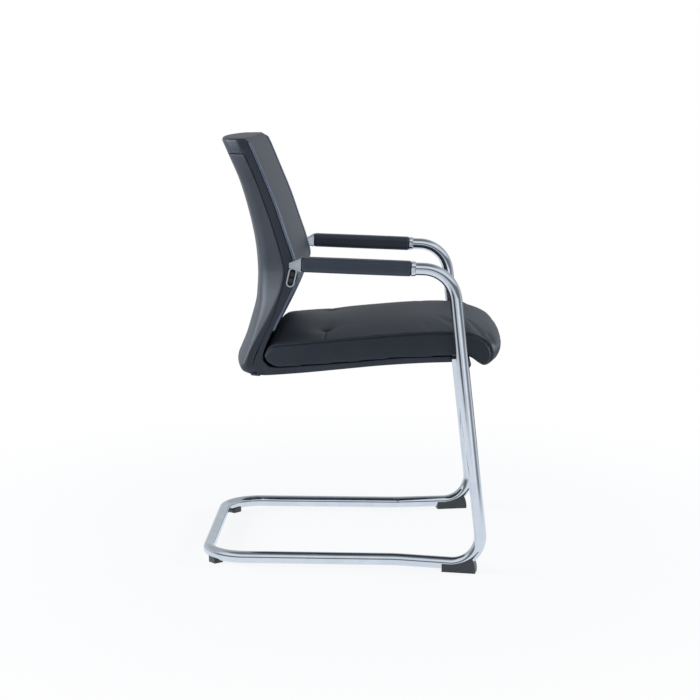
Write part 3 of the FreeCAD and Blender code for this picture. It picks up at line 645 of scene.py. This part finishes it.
# Lines are (height, value) pairs. Foot and seam rows are (height or distance from the seam, ..., inset) of the rear
# panel's lower and upper edge and of the cap's lower edge.
back = {
    "widthLine": [(402.0, 234.0), (412.0, 238.8), (430.0, 240.0), (525.0, 240.0), (620.0, 240.0), (740.0, 238.5),
                  (846.0, 235.0), (877.0, 231.5)],
    "rearLine": [(402.0, -226.0), (406.0, -240.0), (416.0, -246.0), (433.0, -240.0), (457.0, -230.0),
                 (485.0, -221.0), (537.0, -206.8), (567.0, -203.8), (599.0, -202.5), (655.0, -206.5),
                 (716.0, -218.4), (788.0, -239.3), (846.0, -264.0), (869.0, -274.0)],
    "flankEdge": [(402.0, -204.0), (417.0, -212.0), (446.0, -206.0), (481.0, -188.0), (526.0, -163.0),
                  (575.0, -142.5), (611.0, -136.0), (627.0, -138.0), (680.0, -152.5), (738.0, -171.0),
                  (795.0, -192.5), (843.0, -214.0), (860.0, -221.6)],
    "rearRadius": 1200.0,
    "flankLean": [(402.0, 30.0), (560.0, 32.0), (640.0, 28.0), (800.0, 28.0), (846.0, 31.0), (877.0, 36.0)],
    "rearCorner": 17.0,
    "cornerDepth": 18.0,
    "edgeCorner": 5.0,
    "faceLine": [(488.0, -158.0), (510.0, -148.5), (538.0, -134.5), (563.0, -122.5), (588.0, -111.5),
                 (606.0, -107.8), (640.0, -116.0), (686.0, -131.5), (746.0, -152.0), (805.0, -176.0),
                 (851.0, -195.0), (869.0, -203.5)],
    "crown": 4.0,
    "wall": 2.2,
    "footRows": [(401.0, -200.0, 3.0), (401.0, -212.0, 1.5), (401.3, -221.0, 0.5)],
    "seamRows": [(1.4, 0.1), (0.8, 0.4), (0.4, 1.0), (0.2, 1.8)],
    "capRows": [(0.0, 2.0), (0.25, 1.1), (0.7, 0.5), (1.4, 0.1)],
    "capGap": 0.3,
    "capInset": 1.0,
    "capBehindFace": 4.5,
    "capCorner": 6.0,
    "capCover": 0.9,
    "capCoverHeights": (847.0, 864.0),
    "crestRadius": 7.0,
    "sideInset": 2.2,
    "sideEdge": 4.0,
    "panelCrest": 9.0,
    "panelFoot": 489.0,
    "pressure": 2.0,
    "cap": 3.5,
    "pipingFoot": 492.0,
    "pipingTop": 869.0,
    "pipingInset": 2.3,
    "pipingLift": 0.4,
    "pipingRadius": 2.8,
    "furrow": 12.0,
    "furrowDepth": 0.9,
    "furrowReach": 1.6,
    "seamHeight": 846.0,
    "top": 877.0,
}


def shellLines():
    # Outer and inner side lines of the shell as (t, forward) and (t, height): pan 0..1, heel 1..2, back 2..3.
    def line(pan, heel, backLine):
        rows = [((shell["front"] - f) / (shell["front"] - pan[-1][0]), f, h) for f, h in pan]
        rows += [(1.5, *heel[0]), (2.0, *heel[1])]
        low = heel[1][1]
        rows += [(2.0 + (h - low) / (shell["top"] - low), f, h) for f, h in backLine]
        return [(t, f) for t, f, h in rows], [(t, h) for t, f, h in rows]
    return (*line(shell["panOuter"], shell["heelOuter"], shell["backOuter"]),
            *line(shell["panInner"], shell["heelInner"], shell["backInner"]))


def makeInnerShell():
    # Rounded-rectangle section carried along the L, between its outer and inner side lines; up the back its front
    # reaches to the cushion's side seam, and its upper end is a half round.
    outerF, outerH, innerF, innerH = shellLines()
    t = np.concatenate([np.linspace(0, 1, 60)[:-1], np.linspace(1, 2, 24)[:-1], np.linspace(2, shell["end"], 90)])
    outer = np.stack([lineValue(outerF, t), lineValue(outerH, t)], axis=-1)
    inner = np.stack([lineValue(innerF, t), lineValue(innerH, t)], axis=-1)
    toFace = smoothStep(*shell["bandFoot"], inner[:, 1]) * (t > 2)
    inner[:, 0] += toFace * (lineValue(back["faceLine"], inner[:, 1]) - shell["bandDepth"] - inner[:, 0])
    turn = np.linspace(0, math.pi / 2, 12)[1:, None]
    centre, reach = (outer[-1] + inner[-1]) / 2, (inner[-1] - outer[-1]) / 2
    rise = np.array([-shell["endLean"], 1.0]) * (shell["endHeight"] - centre[1])
    outer = np.concatenate([outer, centre - reach * np.cos(turn) + rise * np.sin(turn)])
    inner = np.concatenate([inner, centre + reach * np.cos(turn) + rise * np.sin(turn)])
    thick = np.maximum(np.linalg.norm(inner - outer, axis=-1), 0.4)
    half = np.minimum(shell["halfWidth"], lineValue(back["widthLine"], np.maximum(outer[:, 1], 430.0)))
    half -= shell["sidePlay"]
    a, b = roundedLoop(2 * half, thick, np.minimum(shell["edgeRadius"], thick / 2.1), 7, 5)
    share = (b / thick[:, None] + 0.5)[..., None]
    spot = outer[:, None] * (1 - share) + inner[:, None] * share
    piece = gridMesh("innerShell", place(a, spot[..., 0], spot[..., 1]))
    seamless(piece)
    finishPiece(piece, bandLeather, "shell", "inner_shell")


def bezier(first, corner, last, count):
    # Rounded corner: (1-t)^2 first + 2t(1-t) corner + t^2 last, without its two ends.
    t = np.linspace(0, 1, count)[None, :, None]
    return (1 - t) ** 2 * first[:, None] + 2 * t * (1 - t) * corner[:, None] + t * t * last[:, None]


def straightRun(first, last, count):
    # Evenly spaced points of the straight line between two points, without its ends.
    t = np.linspace(0, 1, count + 2)[None, 1:-1, None]
    return first[:, None] * (1 - t) + last[:, None] * t


def rearArc(rear, s):
    # Plan curve of the back at distances s from the middle: forward = rear + s^2 / (2 radius).
    return np.stack([s, rear[:, None] + s ** 2 / (2 * back["rearRadius"])], axis=-1)


def rearOutline(height, rear, inset, start, edgeCorner):
    # Plan half outline from the shell's side seam back to the middle: lip, leaning flank, corner and rear arc. The
    # corner, where flank and arc meet, is found by repetition.
    half = lineValue(back["widthLine"], height) - inset
    edge = np.minimum(lineValue(back["flankEdge"], height), start - 0.6)
    lean = np.tan(np.radians(np.interp(height, *np.array(back["flankLean"]).T)))
    cornerF = rear + back["cornerDepth"]
    for _ in range(4):
        cornerS = half - (edge - cornerF) * lean
        cornerF = rear + cornerS ** 2 / (2 * back["rearRadius"])
    first, bend = np.stack([half, start], -1), np.stack([half, edge], -1)
    corner = np.stack([cornerS, cornerF], -1)
    depth = np.linalg.norm(corner - bend, axis=-1)
    soft = np.minimum(edgeCorner, 0.3 * depth)[:, None]
    large = np.minimum(back["rearCorner"], 0.45 * depth)[:, None]
    down = unit(corner - bend)
    before = bend + unit(first - bend) * np.minimum(soft, 0.8 * np.linalg.norm(first - bend, axis=-1)[:, None])
    afterBend = bend + down * soft
    beforeCorner = corner - down * large
    sideways = cornerS[:, None] - large
    arc = rearArc(rear, sideways * np.linspace(1, 0, 30)[None])
    arcStart = arc[:, 0]
    return np.concatenate([first[:, None], straightRun(first, before, 3), bezier(before, bend, afterBend, 7),
                           straightRun(afterBend, beforeCorner, 8), bezier(beforeCorner, corner, arcStart, 12),
                           arc[:, 1:]], axis=1)


def bothHalves(outline):
    # Mirrors a half outline that ends on the middle line, so it runs from the right side round to the left.
    return np.concatenate([outline, outline[:, -2::-1] * [-1.0, 1.0]], axis=1)


def makeRearPanel():
    # The rear outline at each height, closed in at the foot and tucked under at the cap's seam, with a thin wall.
    foot, seam = np.array(back["footRows"]), np.array(back["seamRows"])
    seamHeight = back["seamHeight"]
    stations = np.concatenate([foot[:, 0], np.linspace(402.0, 433.0, 16), np.linspace(433.0, seamHeight - 2.0, 84)[1:],
                               seamHeight - seam[:, 0]])
    rear = lineValue(back["rearLine"], stations)
    rear[:3] = foot[:, 1]
    inset = np.zeros(len(stations))
    inset[:3], inset[-4:] = foot[:, 2], seam[:, 1]
    rear[-4:] += seam[:, 1]
    # The panel starts at the shell's outer line; below the heel it starts under the pan.
    outerF = lineValue([(h, f) for f, h in shell["heelOuter"] + shell["backOuter"]], np.maximum(stations, 407.0))
    start = np.where(stations < 407.0, -184.0 - (stations - 401.0) * 1.3, outerF) - 0.1
    start = np.maximum(start, rear + 4.0)
    outline = bothHalves(rearOutline(stations, rear, inset, start, back["edgeCorner"]))
    tuckIn = outline[:, :1] - [back["wall"], 0.0]
    outline = np.concatenate([tuckIn, outline, tuckIn * [-1, 1]], axis=1)
    piece = gridMesh("rearPanel", place(-outline[..., 0], outline[..., 1], stations[:, None]), loop=False, ends=False)
    toSeam = np.abs(np.repeat(stations[:, None], outline.shape[1], 1).ravel() - seamHeight) * mm
    setAttribute(piece.data, "seam", toSeam[:len(piece.data.vertices)] + 0.002)
    wall = piece.modifiers.new("wall", "SOLIDIFY")
    wall.thickness, wall.offset, wall.use_even_offset = back["wall"] * mm, -1.0, False
    finishPiece(piece, wrapLeather, "wrapped_leather", "back_outer_shell")


def makeTopCap():
    # The rear leather carried over the top as far as the piping: the same outline, drawn in along a quarter round
    # radius (1 - cos a), with a faint wave along its lower edge.
    low, top, radius = back["seamHeight"] + back["capGap"], back["top"], back["crestRadius"]
    quarter = np.linspace(0, math.pi / 2, 12)[1:]
    rows = np.array(back["capRows"])
    stations = np.concatenate([low + rows[:, 0], np.linspace(low + 2.2, top - radius, 16),
                               top - radius + radius * np.sin(quarter)])
    inset = np.concatenate([rows[:, 1], np.zeros(16), radius * (1 - np.cos(quarter))])
    rear = lineValue(back["rearLine"], np.minimum(stations, 869.0)) + inset - np.clip(stations - 869.0, 0, 8) * 0.3
    start = lineValue(back["faceLine"], stations) - back["capBehindFace"] - 0.6 * inset
    aside = back["capInset"] - back["capCover"] * smoothStep(*back["capCoverHeights"], stations) + inset * 0.9
    outline = bothHalves(rearOutline(stations, rear, aside, start, back["capCorner"]))
    points = place(-outline[..., 0], outline[..., 1], stations[:, None])
    points[..., 2] += 0.0006 * np.sin(points[..., 0] * 85.0) * np.exp(-(stations[:, None] - low) / 6.0)
    piece = gridMesh("topCap", points)
    seamless(piece)
    finishPiece(piece, wrapLeather, "wrapped_leather", "back_top_cap")


def backCushionPoints():
    # Plan section at each height: sides, small round edges, a face crowned by c (1 - (s / half)^2), and a flat rear
    # on the shell that steps back over the shell's top.
    crest, radius = back["top"] - 1.0, back["panelCrest"]
    stations = np.concatenate([np.linspace(back["panelFoot"], 872.2, 118)[:-3], [867.0, 872.2, 872.6],
                               np.linspace(873.0, crest, 7)])
    stations = np.unique(np.round(stations, 2))
    over = np.clip(stations - (crest - radius), 0, radius) / radius
    inset = radius * (1 - np.sqrt(np.clip(1 - over ** 2, 0, 1)))
    half = lineValue(back["widthLine"], stations) - inset * 0.6 - back["sideInset"]
    face = lineValue(back["faceLine"], stations) - inset
    rear = lineValue([(h, f) for f, h in shell["heelInner"][1:] + shell["backInner"]], stations) + 0.3
    rear = np.where(stations > 872.4, rear - 9.8, rear)
    face = np.maximum(face, rear + 2.0)
    edge = np.minimum(back["sideEdge"], (face - rear) * 0.8)
    side0, side1 = np.stack([half, rear], -1), np.stack([half, face - edge], -1)
    corner, front = np.stack([half, face], -1), np.stack([half - edge, face], -1)
    across = (half - edge)[:, None] * np.linspace(1, 0, 40)[None, 1:]
    crown = back["crown"] * (1 - (across / (half - edge)[:, None]) ** 2) * (1 - over[:, None] ** 2)
    frontRow = np.stack([across, face[:, None] + crown], axis=-1)
    outline = bothHalves(np.concatenate([side0[:, None], straightRun(side0, side1, 3),
                                         bezier(side1, corner, front, 6), frontRow], axis=1))
    rearRow = np.stack([half[:, None] * np.linspace(-1, 1, 26)[None, 1:-1], np.repeat(rear[:, None], 24, 1)], -1)
    outline = np.concatenate([outline, rearRow], axis=1)
    return place(-outline[..., 0], outline[..., 1], stations[:, None])


def puffed(piece, held, pressure, cap, frames=20):
    # Blows the closed mesh up as cloth with its held points pinned; a point moved by d ends at cap tanh(d / cap).
    rest = vertexPoints(piece.data)
    piece.vertex_groups.new(name="held").add(np.nonzero(held)[0].tolist(), 1.0, "REPLACE")
    cloth = piece.modifiers.new("swell", "CLOTH")
    settings = cloth.settings
    settings.quality, settings.mass, settings.air_damping = 4, 0.3, 4.0
    settings.tension_stiffness = settings.compression_stiffness = 25.0
    settings.shear_stiffness, settings.bending_stiffness = 8.0, 1.2
    settings.use_pressure, settings.uniform_pressure_force = True, pressure
    settings.effector_weights.gravity = 0.0
    settings.vertex_group_mass = "held"
    cloth.point_cache.frame_start, cloth.point_cache.frame_end = 1, frames
    scene = bpy.context.scene
    for number in range(1, frames + 1):
        scene.frame_set(number)
    moved = vertexPoints(piece.evaluated_get(bpy.context.evaluated_depsgraph_get()).data)
    piece.modifiers.remove(cloth)
    scene.frame_set(1)
    shift = moved - rest
    length = np.linalg.norm(shift, axis=-1, keepdims=True)
    shift *= np.minimum(1.0, cap * mm * np.tanh(length / (cap * mm)) / np.maximum(length, 1e-9))
    setVertexPoints(piece.data, rest + shift)
    piece.vertex_groups.clear()


def makeBackCushion():
    # Puffed panel with a furrow beside each side edge: depth exp(-(d / reach)^2).
    piece = gridMesh("backCushion", backCushionPoints())
    points = vertexPoints(piece.data)
    height = points[:, 2] / mm
    behindFace = lineValue(back["faceLine"], np.clip(height, 488.0, 869.0)) + points[:, 1] / mm
    fromSide = lineValue(back["widthLine"], height) - np.abs(points[:, 0]) / mm
    held = (behindFace > 3.0) | (fromSide < 7.0) | (height > 868.0) | (height < 494.0)
    puffed(piece, held, back["pressure"], back["cap"])
    beside = np.abs(fromSide - back["furrow"])
    groove = back["furrowDepth"] * np.exp(-(beside / back["furrowReach"]) ** 2) * (behindFace < 2.5)
    setVertexPoints(piece.data, vertexPoints(piece.data) - vertexNormals(piece.data) * (groove * mm)[:, None])
    # Where "seam" is small the leather paints shade: the furrow beside each side edge of the face.
    setAttribute(piece.data, "seam", np.where(behindFace < 3.0, beside, 40.0) * mm)
    finishPiece(piece, softLeather, "soft_leather", "back_cushion")


def makeBackPiping():
    # A thin leather cord in the side seam of the face, from the foot of the panel to the top; tucked in at both ends.
    height = np.linspace(back["pipingFoot"], back["pipingTop"], 130)
    tucked = smoothStep(620.0, 560.0, height) * 1.6 + np.clip((height - 866.0) / 3.0, 0, 1) * 3.0
    half = lineValue(back["widthLine"], height) - back["pipingInset"] - tucked
    face = lineValue(back["faceLine"], height) + back["pipingLift"] - tucked
    for sideName, sign in (("Right", -1), ("Left", 1)):
        points = place(sign * half, face, height)
        headings = unit(np.gradient(points, axis=0))
        sides = unit(np.cross(headings, [0.0, -1.0, 0.0]))
        piece = roundBar("backPiping" + sideName, (points, headings, sides), back["pipingRadius"] * mm, 14)
        seamless(piece)
        finishPiece(piece, paintedHighlightCord, "soft_leather")


makeInnerShell()
makeRearPanel()
makeTopCap()
makeBackCushion()
makeBackPiping()
print("back made")


# Seat cushion

seat = {
    "halfWidth": 245.0,
    "voxel": 5.0,
    "seamLine": [(-172.5, 451.5), (-164.0, 459.5), (-152.0, 463.5), (-99.0, 468.5), (0.0, 478.0), (59.0, 483.5),
                 (139.0, 489.5), (185.0, 491.0), (240.0, 489.5), (258.0, 484.0), (272.0, 474.0), (281.0, 460.0),
                 (284.0, 446.0), (281.0, 433.0), (272.0, 423.0)],
    "seamDrop": 2.6,
    "seamInset": 3.0,
    "seamGroove": 2.2,
    "seamReach": 2.6,
    "seamSpread": 0.45,
    "tuftSpread": 155.0,
    "tuftForward": -54.0,
    "tuftDepth": 3.5,
    "tuftReach": 9.0,
    "creaseDepth": 0.8,
    "creaseReach": 2.6,
    "pullDepth": 0.12,
    "pressure": 4.0,
    "cap": 5.0,
}


def seatSurface(name):
    # The seat solid's closed skin, evened out into small quads and relaxed.
    piece = meshPiece(name, cleaned(frame["nodes"]["seat_cushion"].data.copy(), 2e-5))
    even = piece.modifiers.new("even", "REMESH")
    even.mode, even.voxel_size = "VOXEL", seat["voxel"] * mm
    relax = piece.modifiers.new("relax", "SMOOTH")
    relax.factor, relax.iterations = 0.5, 6
    flattened(piece)
    return piece


def seamDistance(points):
    # Millimetres from the boxing's upper seam: measured in the side plane, plus how far the point is inside it.
    forward, height = (lineValue(list(enumerate(values)), np.linspace(0, len(values) - 1, 160))
                       for values in np.array(seat["seamLine"]).T)
    line = np.stack([forward, height - seat["seamDrop"]], axis=-1)
    flat = np.stack([-points[:, 1], points[:, 2]], axis=-1) / mm
    inward = np.maximum(seat["halfWidth"] - seat["seamInset"] - np.abs(points[:, 0]) / mm, 0)
    return np.hypot(lineDistance(flat, line), inward)


def makeSeatCushion():
    # Puffed seat. Seam groove, tufts and the creases outward from them are each depth exp(-(d / reach)^2); the pulls
    # round a tuft are a sine of the angle about it.
    piece = seatSurface("seatCushion")
    points = vertexPoints(piece.data)
    spread, forward, height = np.abs(points[:, 0]) / mm, -points[:, 1] / mm, points[:, 2] / mm
    toTuft = np.hypot(spread - seat["tuftSpread"], forward - seat["tuftForward"])
    foot = lineValue(shell["panInner"], np.clip(forward, -152, 204)) + 3.0
    held = (seamDistance(points) < 4.0) | (height < foot) | ((toTuft < 6.0) & (height > 470))
    puffed(piece, held, seat["pressure"], seat["cap"])
    finer = piece.modifiers.new("finer", "SUBSURF")
    finer.levels = finer.render_levels = 1
    flattened(piece)
    points, normals = vertexPoints(piece.data), vertexNormals(piece.data)
    toSeam = seamDistance(points)
    aside, ahead = np.abs(points[:, 0]) / mm - seat["tuftSpread"], -points[:, 1] / mm - seat["tuftForward"]
    toTuft = np.hypot(aside, ahead)
    top = normals[:, 2] > 0.3
    groove = seat["seamGroove"] * np.exp(-(toSeam / seat["seamReach"]) ** 2)
    button = seat["tuftDepth"] * np.exp(-(toTuft / seat["tuftReach"]) ** 2) * top
    crease = seat["creaseDepth"] * np.exp(-(ahead / seat["creaseReach"]) ** 2) * top * smoothStep(-7.0, 5.0, aside)
    pulls = seat["pullDepth"] * np.sin(np.arctan2(ahead, aside) * 5.0 + 0.6) * top
    pulls *= np.exp(-((toTuft - 15.0) / 9.0) ** 2)
    setVertexPoints(piece.data, points - normals * ((groove + button + crease + pulls) * mm)[:, None])
    # Where "seam" is small the leather paints shade: along the boxing's seam, spread wider, and along the crease out
    # from each tuft.
    sewn = np.where(top & (aside > -5.0), np.abs(ahead), 40.0)
    setAttribute(piece.data, "seam", np.minimum(toSeam * seat["seamSpread"], sewn) * mm)
    finishPiece(piece, softLeather, "soft_leather", "seat_cushion")


makeSeatCushion()
print("seat cushion made")


# Floor, light and camera

# Painted reflection sectors of the floor are (heading, cosine where it fades in, cosine where it is full, how much
# darker). Lamps are (place, target, size, watts).
studio = {
    "floorSize": 30.0,
    "floorLevel": 0.92,
    "floorFall": 0.22,
    "paintedReflectionSectors": [((-0.84, 0.543, 0.0), 0.93, 0.985, 0.60), ((-0.93, -0.37, 0.0), 0.96, 0.99, -0.30),
                     ((-0.5, -0.866, 0.0), 0.93, 0.985, 0.42), ((0.74, -0.67, 0.0), 0.90, 0.99, 0.60),
                     ((0.1, 0.99, 0.0), 0.92, 0.99, 0.22)],
    "overhead": 0.20,
    "belt": 0.90,
    "farBelt": 0.50,
    "nearHorizon": 0.20,
    "farHorizon": 0.62,
    "tint": (0.88, 0.94, 1.0),
    "lampTint": (0.84, 0.92, 1.0),
    "lamps": {"rearLamp": ((-0.35, 3.0, 1.10), (0.0, 0.1, 0.55), (2.4, 1.3), 84.0),
              "frontLamp": ((0.35, -3.0, 1.00), (0.0, 0.0, 0.55), (2.4, 1.2), 70.0)},
    "camera": {"place": (-3.60129, -0.08751, 0.98330), "lens": 86.6, "yaw": 1.526, "pitch": 8.959, "roll": 0.041},
}


def makeFloor():
    # White floor. Mirrors see a painted reflection on it: white near the chair, pale blue further off, with dark
    # sectors and a bright one.
    half = studio["floorSize"] / 2
    floor = gridMesh("floor", np.array([[[-half, -half, 0], [half, -half, 0]], [[-half, half, 0], [half, half, 0]]]),
                     loop=False, ends=False)
    finish = newFinish("paleFloor")
    where = finish.node("ShaderNodeTexCoord", output="Object")
    reach = finish.node("ShaderNodeVectorMath", {"operation": "LENGTH"}, {0: where}, "Value")
    heading = finish.node("ShaderNodeVectorMath", {"operation": "NORMALIZE"}, {0: where})
    darker = studio["floorFall"]
    for way, low, full, share in studio["paintedReflectionSectors"]:
        toward = finish.node("ShaderNodeVectorMath", {"operation": "DOT_PRODUCT"}, {0: heading, 1: way}, "Value")
        darker = darker + toward.fade(low, full) * share
    level = studio["floorLevel"] - reach.fade(0.9, 1.8) * darker
    seen, glossy = (finish.node("ShaderNodeLightPath", output=ray) for ray in ("Is Camera Ray", "Is Glossy Ray"))
    diffuse = finish.node("ShaderNodeBsdfDiffuse", None, {"Color": (0.86, 0.87, 0.90, 1.0)})
    white = finish.node("ShaderNodeEmission", None, {"Color": (1.0, 1.0, 1.0, 1.0), "Strength": 1.0})
    # Glossy rays see a glowing painted reflection, darker by sector and with distance, instead of the lit floor.
    paintedReflection = finish.node("ShaderNodeEmission", None, {"Color": (*studio["tint"], 1.0), "Strength": level})
    shader = finish.node("ShaderNodeMixShader", None, {0: glossy, 1: diffuse, 2: paintedReflection})
    toWhite = seen * reach.fade(0.45, 1.6, 0.86, 1.0)
    finish.out(finish.node("ShaderNodeMixShader", None, {0: toWhite, 1: shader, 2: white}))
    floor.data.materials.append(finish.owner)


def makeWorld():
    # White for the camera. Otherwise dim overhead and at the near horizon, with a bright belt between, and a pale
    # far horizon.
    world = bpy.data.worlds.new("studio")
    bpy.context.scene.world = world
    build = Finish(world)
    where = build.node("ShaderNodeTexCoord", output="Generated")
    x, z = (build.node("ShaderNodeSeparateXYZ", None, {0: where}, axis) for axis in ("X", "Z"))
    near = x.fade(-0.35, 0.25, 1.0, 0.0)
    horizon = near * studio["nearHorizon"] + (1 - near) * studio["farHorizon"]
    belt = near * studio["belt"] + (1 - near) * studio["farBelt"]
    level = horizon + (belt - horizon) * z.fade(0.30, 0.44)
    level = level + (studio["overhead"] - level) * z.fade(0.78, 0.95)
    seen = build.node("ShaderNodeLightPath", output="Is Camera Ray")
    tinted = build.node("ShaderNodeBackground", None, {"Color": (*studio["tint"], 1.0), "Strength": level})
    white = build.node("ShaderNodeBackground", None, {"Color": (1.0, 1.0, 1.0, 1.0), "Strength": 1.0})
    build.out(build.node("ShaderNodeMixShader", None, {0: seen, 1: tinted, 2: white}), "ShaderNodeOutputWorld")


def sparedMirrors():
    # The chrome pieces, which the lamps leave out: they mirror the floor and the world only.
    chromes = [finish.owner for finish in (tubeChrome, trimChrome, bracketFinish)]
    mirrors = bpy.data.collections.new("mirrors")
    for piece in bpy.context.scene.objects:
        if piece.type == "MESH" and piece.active_material in chromes:
            mirrors.objects.link(piece)
    for member in mirrors.collection_objects:
        member.light_linking.link_state = "EXCLUDE"
    return mirrors


def makeLamps():
    mirrors = sparedMirrors()
    for name, (where, target, size, power) in studio["lamps"].items():
        data = bpy.data.lights.new(name, "AREA")
        data.shape, data.size, data.size_y, data.energy = "RECTANGLE", size[0], size[1], power
        data.color = studio["lampTint"]
        lamp = bpy.data.objects.new(name, data)
        lamp.location = where
        lamp.rotation_euler = (Vector(target) - Vector(where)).to_track_quat("-Z", "Y").to_euler()
        lamp.light_linking.receiver_collection = mirrors
        bpy.context.scene.collection.objects.link(lamp)


def makeCamera():
    view = studio["camera"]
    yaw, pitch, roll = (math.radians(view[key]) for key in ("yaw", "pitch", "roll"))
    ahead = Vector((math.cos(yaw) * math.cos(pitch), math.sin(yaw) * math.cos(pitch), -math.sin(pitch)))
    right = Vector((math.sin(yaw), -math.cos(yaw), 0.0))
    data = bpy.data.cameras.new("camera")
    data.lens, data.sensor_width, data.sensor_fit = view["lens"], 36.0, "HORIZONTAL"
    camera = bpy.data.objects.new("camera", data)
    turn = Matrix((right, right.cross(ahead), -ahead)).transposed().to_4x4()
    camera.matrix_world = Matrix.Translation(view["place"]) @ turn @ Matrix.Rotation(roll, 4, "Z")
    bpy.context.scene.collection.objects.link(camera)
    bpy.context.scene.camera = camera


makeFloor()
makeWorld()
makeLamps()
makeCamera()
bpy.context.scene.view_settings.view_transform = "Standard"
print("studio made")
